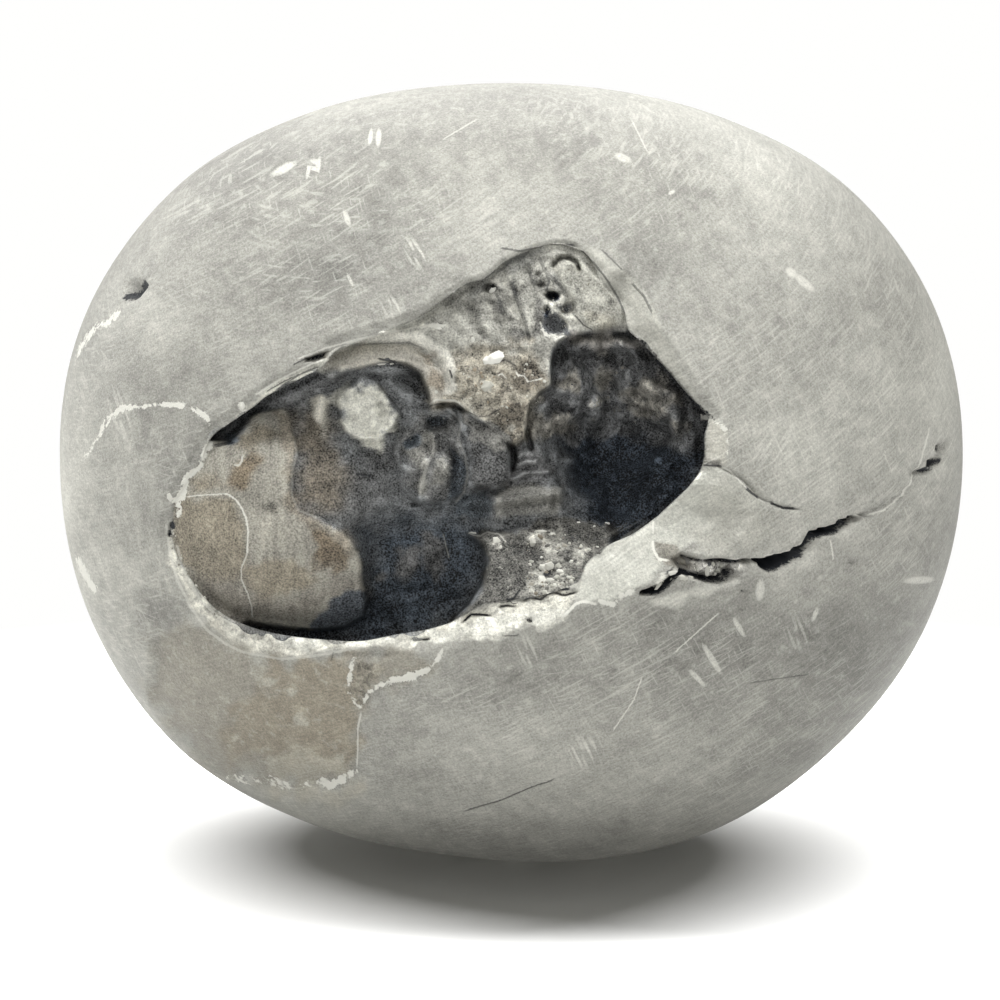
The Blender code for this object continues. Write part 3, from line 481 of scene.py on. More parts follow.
def chamber_floor(x, z):
    """Left half of the mouth: the whorl rolls on beneath its own broken layer and dips to a deeper floor."""
    deep, right, up = CHAMBER_FLOOR
    floor = np.clip(deep + right * (x - CHAMBER_X) + up * z, *CHAMBER_RANGE)
    beneath = whorl(x, z) + LAYER_STEP
    floor = layered(beneath, eased(0.5 + (beneath - floor) / 4.0), floor)
    lumps = sheet_noise(x, z, 2.2, 3, 4) + np.abs(sheet_noise(x, 0.6 * z, 1.2, 5, 3))
    floor += CHAMBER_LUMPS * lumps * eased((x - CHAMBER_X) / 5.0)
    floor = layered(floor, 1.0 - within(x, z, TOP_GAP_BELOW, 1.4), OVERHANG_GAP)
    floor -= (BLOTCH_HEIGHT + 0.25 * sheet_noise(x, z, 1.0, 9, 2)) * within(x, z, PALE_BLOTCH, 0.4)
    return floor + bumps(x, z, CHAMBER_BUMPS)


def shelf(x, z):
    """Broken rock above the whorls: a slope in from the edge, with leaning cosine ribs, pits and a crust."""
    depth = SHELF_DEPTH + SHELF_SLOPE * (SHELF_TOP - z) + groove(x, z, SHELF_ARC, ARC_REACH, ARC_STEP)
    curve = x + RIB_LEAN * z + RIB_WANDER * sheet_noise(x, z, 3.0, 13, 2) - RIB_BEND * (z - 14.0) ** 2
    ribs = np.cos(2.0 * math.pi * curve / RIB_PITCH)
    depth -= RIB_HEIGHT * ribs * within(x, z, RIBBED_WHORL, 1.6)
    crust = CRUST_WAVE * sheet_noise(x, z, 2.4, 11) + CRUST_FINE * np.abs(sheet_noise(x, z, 1.0, 15, 2))
    depth += crust * eased((x + 15.0) / 7.0) - PATCH_HEIGHT * within(x, z, PALE_PATCH, 0.4)
    return depth + grooves(x, z, SHELF_GROOVES) + domes(x, z, SHELF_PITS)


def lobes(x, z, depth):
    """The coil's middle: a ringed knob of domes, a squarer second lobe, slits and ribs beside them."""
    knob = KNOB_FOOT - domes(x, z, KNOB_DOMES) + bumps(x, z, KNOB_DENTS) - grooves(x, z, KNOB_RIBS)
    knob += KNOB_WAVE * sheet_noise(x, z, 1.6, 17)
    depth = layered(depth, eased(3.0 * bump(x, z, *KNOB_REACH)), np.minimum(depth, knob))
    second = SECOND_DEPTH - bumps(x, z, SECOND_BUMPS) + SECOND_WAVE * sheet_noise(x, z, 1.8, 19)
    depth = layered(depth, within(x, z, SECOND_LOBE, 0.45), second)
    return depth + grooves(x, z, COIL_GROOVES)


def bank(x, z):
    """Crusted slope that climbs straight from the foot of the coil to the lower lip."""
    crust = sheet_noise(x, z, 2.0, 23, 3) + np.abs(sheet_noise(x, z, 1.1, 25, 2))
    return np.clip(BANK_DEPTH + BANK_SLOPE * (z - BANK_FOOT), *BANK_RANGE) + BANK_CRUST * crust


def mouth_hollows(x, z):
    """Depth of the mouth behind the unbroken front at places inside its edge."""
    coil = COIL_DEPTH + COIL_SLOPE * x + 0.30 * sheet_noise(x, z, 1.8, 27)
    depth = layered(chamber_floor(x, z), eased((x + 4.5) / 3.0), coil)
    below = LOWER_DEPTH - bumps(x, z, (LOWER_LOBE,)) + 0.5 * sheet_noise(x, z, 2.6, 29, 4)
    depth = layered(depth, within(x, z, LOWER_POCKET, 5.0), below)
    pocket = inside_distance(x, z, RIGHT_POCKET)
    coarse, fine = sheet_noise(x, z, 3.6, 37, 4), sheet_noise(x, z, 1.2, 43, 2)
    waves = (coarse, np.abs(sheet_noise(x, z, 1.9, 39, 3)), fine)
    lumps = sum(height * wave for height, wave in zip(POCKET_WAVES, waves))
    for middle, radii, degrees, tall in POCKET_LUMPS:
        lumps += LUMP_SCALE * tall * bump(x, z, middle, [LUMP_SCALE * radius for radius in radii], degrees)
    hollow = POCKET_RIM + POCKET_FALL * eased(pocket / POCKET_REACH) - lumps
    depth = layered(depth, eased(0.5 + pocket / 2.8), hollow)
    depth = lobes(x, z, depth)
    depth = layered(depth, within(x, z, LEFT_WHORL, 0.35), whorl(x, z))
    depth = layered(depth, within(x, z, UPPER_SHELF, 0.4), shelf(x, z))
    return layered(depth, within(x, z, LOWER_BANK, 0.7), bank(x, z))


# --- the whole surface ---
def ring_angles(start):
    """Angles from each start to the back pole: small equal steps near the mouth, then growing ones."""
    steps = np.full(OUTER_RINGS, FINE_STEP)
    steps[FINE_RINGS:] = FINE_STEP * STEP_GROWTH ** np.arange(1, OUTER_RINGS - FINE_RINGS + 1)
    share = np.cumsum(steps) / steps.sum()
    return start + share[:, None] * (math.pi - start)


def crack_side(places):
    """Columns stand closer where the main crack leaves the mouth."""
    turn = np.degrees(np.arctan2(places[:, 1], places[:, 0]))
    closer, spread = CRACK_COLUMNS
    return 1.0 + closer * eased(1.5 - np.abs(turn - CRACK_TURN) / spread)


def inner_surface(edge):
    """Rings from the middle of the mouth to its edge: sheet x and z, then x, y and z of the surface."""
    share = np.linspace(0.0, 1.0, INNER_RINGS + 1)[:, None]
    climb = np.clip((share - WALL_START) / (1.0 - WALL_START), 0.0, 1.0)
    out = np.where(share < WALL_START, share / WALL_START * WALL_FOOT, WALL_FOOT + (1.0 - WALL_FOOT) * climb)
    x, z = out * edge[:, 0], out * edge[:, 1]
    foot = mouth_hollows(WALL_FOOT * edge[:, 0], WALL_FOOT * edge[:, 1])
    rim = lip_drop(edge[:, 0], edge[:, 1], 0.0)
    floor = mouth_hollows(np.minimum(out, WALL_FOOT) * edge[:, 0], np.minimum(out, WALL_FOOT) * edge[:, 1])
    depth = layered(floor, eased(climb), rim)
    back = UNDERCUT * np.maximum(foot - rim, 0.0) * np.sin(math.pi * climb) / np.hypot(edge[:, 0], edge[:, 1])
    y = skin_depth(x, z) + depth
    return x, z, x * (1.0 + back), y, z * (1.0 + back), depth


def outer_surface(edge):
    """Rings from the mouth's edge round to the back pole: sheet x and z, then x, y and z of the surface."""
    angle = ring_angles(skin_angle(edge[:, 0], edge[:, 1]))
    turn = np.arctan2(edge[:, 1], edge[:, 0])
    radius = outline_radius(edge[:, 0], edge[:, 1]) * np.sin(angle) ** SQUARENESS
    x, z = radius * np.cos(turn), radius * np.sin(turn)
    forward = np.cos(angle)
    bulge = np.where(forward > 0.0, FRONT_BULGE, BACK_BULGE)
    y = -np.sign(forward) * bulge * np.abs(forward) ** SQUARENESS
    outside = np.maximum(-inside_distance(x, z, MOUTH_EDGE), 0.0)
    depth = skin_hollows(x, z, outside) * eased((forward - HOLLOWS_FROM[0]) / HOLLOWS_FROM[1])
    lean = eased(outside / LEAN_REACH)
    inward = np.stack([-x * lean, -y * lean + STRAIGHT_IN * (1.0 - lean), -z * lean])
    inward /= np.linalg.norm(inward, axis=0)
    return x, z, x + inward[0] * depth, y + inward[1] * depth, z + inward[2] * depth, depth


def settled(points):
    """Points about the stone's middle, swelled a little, seen true by the eye, leant back, on the floor."""
    flat = points.reshape(-1, 3)
    swell = 1.0 + SWELL * lattice_noise(flat, SWELL_SIZE, 5) / np.linalg.norm(flat, axis=1)
    x, y, z = (flat * swell[:, None]).T
    nearer = 1.0 + y / EYE_DISTANCE
    x = EYE_AXIS[0] + (x - EYE_AXIS[0]) * nearer
    z = EYE_AXIS[1] + (z - EYE_AXIS[1]) * nearer
    cos, sin = math.cos(MOUTH_TILT), math.sin(MOUTH_TILT)
    stood = np.stack([x, y * cos + z * sin, z * cos - y * sin], axis=-1) + STONE_MIDDLE
    stood[:, 2] = np.maximum(stood[:, 2], 0.0)
    return stood.reshape(points.shape)


# --- colours of the zones ---
SKIN_DARK = (138, 137, 130)
SKIN_PALE = (182, 181, 172)
# Finishes laid over one another, the lowest first: outlines on the sheet, screen colour, softness of the
# edge, how far the edge wanders, how much of what is below it covers, and how gritty it is.
FINISHES = {
    "rim_band": ((
        ((161, 522), (174, 530), (176, 550), (183, 569), (197, 595), (219, 616), (252, 633), (304, 642),
         (381, 638), (430, 628), (468, 612), (485, 603), (540, 595), (578, 590), (574, 603), (563, 619),
         (537, 626), (521, 624), (499, 634), (463, 640), (444, 637), (416, 645), (373, 648), (341, 652),
         (317, 656), (293, 661), (252, 658), (223, 642), (186, 600), (166, 558)),
    ), (203, 201, 189), 0.35, 0.45, 0.92, 1.4),
    "bright_lip": ((
        ((280, 642), (325, 643), (380, 639), (424, 631), (444, 634), (440, 641), (373, 648), (340, 651),
         (310, 654), (286, 651)),
        ((460, 626), (486, 616), (510, 610), (540, 604), (568, 604), (564, 616), (537, 624), (521, 622),
         (499, 632), (463, 639), (444, 638)),
    ), (222, 221, 210), 0.5, 0.9, 0.9, 1.2),
    "bevel": ((
        ((574, 246), (602, 252), (614, 262), (626, 272), (636, 283), (646, 296), (655, 314), (663, 332),
         (674, 356), (686, 379), (700, 402), (716, 420), (708, 418), (683, 389), (667, 370), (642, 343),
         (628, 330), (617, 299), (595, 270)),
    ), (182, 181, 171), 0.35, 0.2, 0.85, 0.3),
    "triangle": ((
        ((580, 570), (586, 556), (611, 543), (633, 534), (657, 516), (691, 483), (702, 466), (724, 466),
         (740, 480), (736, 500), (718, 530), (694, 546), (668, 558), (648, 584), (624, 593), (607, 606),
         (590, 600), (574, 600)),
    ), (190, 190, 180), 0.5, 0.4, 0.95, 0.6),
    "triangle_grey": ((
        ((706, 470), (726, 468), (758, 494), (780, 514), (760, 540), (720, 554), (696, 544), (708, 510)),
    ), (182, 181, 171), 2.4, 0.9, 0.8, 0.6),
    "lower_lip": ((
        ((648, 602), (674, 592), (694, 586), (724, 584), (738, 582), (726, 589), (702, 598), (670, 606)),
    ), (201, 200, 190), 0.6, 0.4, 0.9, 0.5),
    "pale_block": ((
        ((703, 420), (716, 422), (726, 432), (726, 465), (703, 466)),
    ), (184, 182, 171), 0.3, 0.2, 0.95, 0.5),
    "block_stain": ((
        ((704, 460), (719, 461), (721, 465), (716, 467), (705, 466)),
    ), (94, 93, 88), 0.5, 0.3, 0.9, 0.6),
    "scar": ((FLAKE_SCAR,), (150, 146, 134), 2.4, 1.2, 0.9, 0.6),
    "scar_brown": ((
        ((270, 666), (304, 664), (344, 656), (366, 668), (374, 682), (356, 704), (354, 766), (336, 780),
         (300, 774), (264, 766), (230, 760), (210, 736), (240, 710), (264, 690)),
    ), (145, 137, 120), 1.6, 1.2, 0.75, 0.8),
    "notch": ((
        ((353, 656), (376, 663), (388, 668), (374, 683), (362, 704), (352, 696), (351, 674)),
    ), (142, 137, 124), 0.4, 0.6, 0.9, 1.8),
    "scar_spots": ((
        ((244, 668), (254, 669), (256, 677), (246, 678)),
        ((262, 686), (268, 686), (267, 690)),
        ((284, 692), (292, 694), (288, 699)),
        ((294, 722), (302, 723), (302, 730), (295, 728)),
        ((318, 739), (328, 741), (326, 749), (319, 747)),
        ((230, 730), (238, 736), (232, 744)),
        ((260, 760), (272, 764), (266, 772)),
        ((332, 760), (339, 762), (336, 768)),
    ), (178, 175, 163), 0.35, 0.7, 0.8, 0.8),
    "scar_pale": ((
        ((277, 788), (319, 791), (350, 786), (366, 792), (340, 808), (300, 800), (270, 794)),
        ((255, 766), (290, 756), (336, 764), (350, 778), (319, 786), (277, 784)),
    ), (177, 173, 159), 0.9, 0.8, 0.7, 0.5),
    "left_ledge": ((
        ((226, 426), (250, 404), (280, 380), (310, 366), (340, 354), (332, 366), (290, 389), (258, 410),
         (230, 432)),
    ), (208, 207, 194), 0.6, 0.5, 0.8, 1.2),
    "rubble": ((CHIPPED_PIT,), (197, 195, 188), 0.4, 0.4, 0.95, 2),
    "brown_chips": ((
        ((654, 541), (668, 544), (683, 553), (689, 562), (702, 566), (692, 573), (676, 568), (659, 560)),
    ), (117, 112, 101), 0.5, 0.5, 0.75, 1.2),
    "mouth": ((MOUTH_EDGE,), (120, 122, 122), 0.3, 0.07, 1, 1.5),
    "brown_wall": ((
        ((286, 413), (316, 404), (334, 420), (336, 450), (352, 480), (347, 515), (317, 519), (295, 509),
         (289, 485), (295, 460), (294, 442)),
    ), (110, 103, 91), 3.2, 0.8, 0.95, 1.5),
    "dark_wall": ((
        ((366, 444), (396, 436), (404, 460), (390, 500), (356, 526), (340, 504), (354, 470)),
    ), (84, 84, 83), 2, 1, 0.7, 1.2),
    "shelf": ((UPPER_SHELF,), (168, 167, 158), 0.4, 0.3, 1, 1.2),
    "edge_shade": ((
        ((501, 275), (520, 255), (536, 248), (550, 246), (530, 264), (510, 280)),
        ((466, 296), (478, 284), (490, 279), (489, 293), (476, 304), (466, 306)),
        ((548, 272), (555, 274), (572, 286), (586, 296), (582, 302), (564, 294), (552, 284)),
    ), (170, 170, 163), 0.5, 0.5, 0.85, 1.2),
    "rib_shade": ((
        ((492, 300), (500, 303), (508, 316), (504, 319), (496, 310)),
        ((464, 304), (474, 306), (476, 314), (466, 312)),
        ((511, 285), (517, 289), (520, 300), (514, 296)),
        ((508, 328), (524, 332), (534, 344), (516, 346)),
        ((536, 294), (544, 298), (542, 326), (535, 336), (532, 314)),
    ), (85, 84, 81), 0.7, 0.5, 0.75, 1.2),
    "saddle": ((
        ((433, 407), (429, 385), (450, 365), (470, 346), (505, 346), (543, 354), (551, 382), (537, 397),
         (524, 432), (512, 441), (480, 425), (452, 404)),
    ), (157, 151, 136), 1.5, 1, 0.85, 2.1),
    "saddle_dark": ((
        ((506, 372), (536, 362), (549, 372), (546, 388), (526, 399), (508, 390)),
        ((510, 402), (526, 404), (522, 432), (512, 439), (494, 426)),
    ), (108, 101, 89), 1.2, 1, 0.8, 2.1),
    "arc_pale": ((
        ((336, 349), (364, 336), (408, 332), (434, 340), (452, 360), (456, 390), (444, 394), (436, 366),
         (424, 352), (408, 344), (364, 346), (344, 354)),
    ), (224, 222, 211), 0.4, 0.3, 0.9, 0.5),
    "arc": ((
        ((324, 368), (340, 353), (364, 346), (408, 344), (424, 352), (436, 366), (444, 394), (434, 406),
         (426, 387), (420, 374), (409, 365), (394, 361), (378, 363), (350, 371)),
    ), (173, 169, 158), 0.5, 0.3, 0.9, 0.6),
    "arc_brown": ((
        ((414, 348), (430, 353), (442, 370), (443, 390), (432, 384), (424, 368)),
    ), (125, 116, 102), 0.8, 0.5, 0.85, 0.8),
    "knob": ((
        ((402, 430), (430, 414), (460, 414), (468, 456), (466, 494), (430, 502), (398, 480)),
    ), (106, 106, 104), 0.8, 0.8, 0.9, 1.6),
    "knob_light": ((
        ((406, 450), (426, 447), (430, 458), (425, 470), (412, 469), (405, 460)),
        ((420, 438), (432, 433), (436, 449), (429, 462), (426, 480), (422, 498), (418, 494), (420, 476),
         (426, 456), (420, 449)),
        ((433, 456), (446, 454), (449, 474), (442, 486), (432, 484)),
    ), (103, 102, 96), 0.5, 0.6, 0.8, 1.4),
    "knob_dark": ((
        ((430, 419), (447, 416), (446, 427), (432, 429)),
        ((406, 444), (418, 436), (416, 444), (407, 449)),
        ((451, 450), (464, 456), (468, 472), (462, 496), (449, 498), (453, 474)),
    ), (84, 92, 99), 0.5, 0.4, 0.85, 1.2),
    "second_lobe": ((SECOND_LOBE,), (73, 73, 72), 0.5, 0.5, 0.9, 1.2),
    "second_top": ((
        ((457, 409), (474, 414), (490, 422), (506, 439), (504, 450), (480, 450), (468, 444)),
    ), (146, 145, 139), 0.8, 0.8, 0.8, 1.6),
    "dark_cylinder": ((
        ((462, 494), (486, 492), (494, 502), (492, 520), (466, 524), (456, 506)),
    ), (85, 91, 95), 0.7, 0.5, 0.9, 1.2),
    "short_ribs": ((
        ((510, 450), (538, 450), (556, 470), (540, 486), (508, 488)),
    ), (120, 120, 119), 0.8, 0.4, 0.8, 1.2),
    "long_rib": ((
        ((494, 489), (530, 486), (562, 486), (564, 504), (546, 514), (516, 516), (494, 519)),
    ), (129, 128, 122), 0.8, 0.5, 0.95, 1),
    # The lower part of the right pocket: a dark coat, painted darker still as shade where the pocket runs
    # deep behind the lower lip.
    "pocket_dark_and_shade": ((
        ((564, 380), (600, 360), (660, 370), (740, 420), (700, 480), (660, 530), (610, 550), (590, 534),
         (580, 514), (574, 494), (568, 470), (556, 446), (550, 420)),
    ), (52, 58, 65), 3.2, 0.8, 1, 1.4),
    "right_pocket": ((
        ((543, 392), (551, 384), (551, 367), (556, 344), (576, 334), (611, 330), (631, 338), (653, 350),
         (687, 373), (730, 410), (730, 446), (686, 449), (640, 436), (608, 436), (580, 444), (556, 436),
         (542, 424), (538, 408)),
    ), (110, 111, 111), 1.2, 0.9, 1, 2.1),
    "pocket_top": ((
        ((576, 334), (611, 330), (641, 341), (653, 359), (634, 354), (616, 348), (596, 352), (574, 348)),
    ), (188, 184, 177), 0.9, 0.9, 0.85, 1.2),
    "pocket_mottle": ((
        ((620, 370), (634, 380), (660, 384), (680, 410), (676, 430), (648, 420), (626, 398)),
        ((586, 394), (602, 400), (600, 422), (588, 420)),
        ((556, 382), (578, 380), (578, 392), (558, 394)),
        ((550, 412), (578, 412), (576, 424), (552, 424)),
        ((532, 400), (550, 410), (546, 436), (532, 434)),
        ((596, 362), (620, 364), (624, 384), (600, 386)),
    ), (152, 148, 138), 1.4, 1.4, 0.75, 1.9),
    "lower_pocket": ((LOWER_POCKET,), (69, 76, 83), 4.5, 0.8, 1, 1.4),
    "lower_lobes": ((
        ((384, 576), (392, 558), (408, 546), (420, 548), (418, 566), (406, 584), (392, 588)),
        ((422, 532), (434, 528), (442, 544), (443, 566), (434, 582), (426, 570)),
    ), (104, 101, 96), 1.2, 0.8, 0.6, 1.5),
    "bank": ((LOWER_BANK,), (93, 92, 87), 0.5, 0.6, 1, 1.8),
    "bank_crust": ((
        ((526, 536), (538, 530), (557, 533), (566, 544), (548, 552), (530, 550)),
        ((536, 564), (554, 562), (576, 576), (574, 594), (556, 604), (534, 602), (526, 588)),
        ((578, 540), (600, 542), (594, 556), (580, 562)),
    ), (143, 142, 134), 0.9, 0.8, 0.9, 2),
    "pale_patch": ((PALE_PATCH,), (166, 165, 155), 0.35, 0.3, 0.95, 1.2),
    "patch_tan": ((
        ((576, 310), (590, 304), (610, 314), (610, 328), (586, 330)),
    ), (124, 120, 107), 1, 0.8, 0.6, 1.4),
    "dark_stones": ((
        ((545, 319), (554, 315), (566, 322), (568, 334), (554, 336), (544, 330)),
        ((560, 308), (570, 302), (575, 309), (566, 317)),
    ), (95, 97, 99), 0.3, 0.3, 0.95, 0.8),
    # Shelf pits painted near black as the shade inside them.
    "painted_shade_in_pits": ((
        ((546, 293), (558, 292), (559, 299), (553, 301), (546, 299)),
        ((545, 314), (547, 306), (550, 312), (546, 318)),
        ((487, 287), (493, 284), (499, 289), (494, 290)),
        ((539, 285), (544, 285), (542, 289)),
    ), (35, 41, 51), 0.3, 0.25, 1, 0.6),
    "whorl": ((LEFT_WHORL,), (155, 152, 141), 0.3, 0.25, 1, 0.7),
    "whorl_edge": ((
        ((274, 410), (286, 412), (289, 431), (297, 450), (291, 484), (296, 508), (317, 518), (341, 532),
         (354, 550), (338, 566), (306, 578), (310, 540), (286, 510), (282, 480), (284, 454), (276, 430)),
    ), (112, 104, 91), 0.9, 0.6, 0.75, 1),
    "whorl_tan": ((
        ((180, 502), (210, 498), (232, 500), (243, 516), (245, 540), (242, 566), (232, 584), (206, 582),
         (184, 564), (172, 540), (172, 518)),
        ((228, 488), (234, 468), (246, 457), (264, 456), (256, 474), (242, 489), (230, 492)),
        ((230, 436), (254, 426), (278, 430), (266, 446), (244, 452)),
        ((244, 570), (270, 562), (304, 566), (320, 584), (296, 596), (260, 602), (246, 588)),
        ((192, 482), (214, 472), (222, 488), (194, 492)),
    ), (134, 126, 109), 1.1, 0.6, 0.8, 0.9),
    "whorl_low": ((
        ((190, 578), (210, 584), (236, 584), (248, 598), (270, 604), (310, 592), (334, 580), (360, 580),
         (364, 594), (324, 604), (320, 613), (280, 628), (230, 623), (204, 608)),
    ), (142, 137, 127), 2.4, 0.6, 0.85, 1),
    "whorl_stain": ((
        ((226, 489), (229, 472), (239, 459), (254, 452), (262, 459), (254, 474), (243, 488)),
        ((306, 530), (326, 530), (342, 548), (346, 568), (330, 570), (312, 556)),
    ), (116, 103, 84), 0.7, 0.5, 0.75, 0.9),
    # A dark bluish patch at the whorl's lower right.
    "low_dark_patch": ((
        ((320, 613), (323, 604), (332, 597), (343, 594), (364, 594), (369, 608), (364, 622), (344, 632),
         (316, 634), (306, 628)),
    ), (80, 85, 91), 0.5, 0.5, 0.95, 1),
    "whorl_spots": ((
        ((232, 516), (241, 516), (241, 522), (233, 522)),
        ((229, 499), (234, 501), (238, 506), (233, 505)),
        ((269, 507), (276, 509), (274, 514), (269, 512)),
    ), (94, 91, 83), 0.3, 0.3, 0.8, 1),
    "blotch": ((PALE_BLOTCH,), (218, 217, 205), 0.9, 1, 0.97, 0.9),
    "finger": ((
        ((310, 400), (319, 394), (326, 402), (327, 420), (323, 442), (321, 440), (320, 424), (312, 416)),
    ), (224, 220, 206), 0.4, 0.3, 0.85, 0.8),
    # The left end of the gap under the overhanging upper edge, painted dark bluish grey as shadow.
    "gap_end_painted_shadow": ((
        ((224, 430), (234, 430), (237, 440), (230, 443), (222, 438)),
    ), (104, 111, 117), 0.4, 0.3, 1, 0.8),
    # The gap under the overhanging upper edge: dark rock, painted darker still as the overhang's shade.
    "gap_wall_painted_shade": ((
        ((234, 428), (254, 410), (270, 400), (290, 388), (316, 376), (334, 369), (352, 372), (344, 384),
         (324, 390), (310, 396), (294, 406), (272, 407), (252, 414), (242, 430)),
    ), (107, 108, 108), 0.6, 0.3, 0.9, 1.4),
}
# Soft round patches of the skin that are a little paler or darker, a few of them painted highlights along the
# outline's left and right edges: middle, radii, strength.
SOFT_TONES = (
    ((160, 334), (2.4, 3.6), 0.55), ((116, 485), (1.8, 2.6), 0.35), ((128, 572), (2.6, 1.8), 0.45),
    ((760, 170), (7, 4), 0.3), ((810, 260), (5, 5), 0.25), ((360, 280), (14, 5), -0.22),
    ((800, 440), (6, 4.5), 0.25), ((700, 630), (12, 5), -0.55), ((520, 680), (9, 4), -0.6),
    ((860, 640), (7, 7), -0.35), ((86, 574), (0.9, 2.2), 0.5), ((260, 200), (9, 5), -0.1),
    # The first two are painted highlights along the left and right edges of the outline.
    ((84, 440), (1.4, 5), 0.35), ((940, 380), (2.5, 8), 0.5), ((230, 270), (9, 6), -0.35),
    ((800, 700), (13, 9), -0.34), ((635, 280), (4, 4.5), -0.6), ((160, 615), (3.5, 5), -0.6),
    ((500, 730), (16, 6), 0.05), ((280, 150), (14, 6), -0.28), ((500, 130), (10, 4), -0.25),
    ((150, 365), (5, 5), -0.45), ((870, 380), (8, 8), 0.35), ((810, 595), (8, 4), 0.3),
    # The second is a painted highlight along the left edge of the outline.
    ((310, 810), (7, 3), 0.6), ((66, 500), (1.4, 5), 0.7),
)
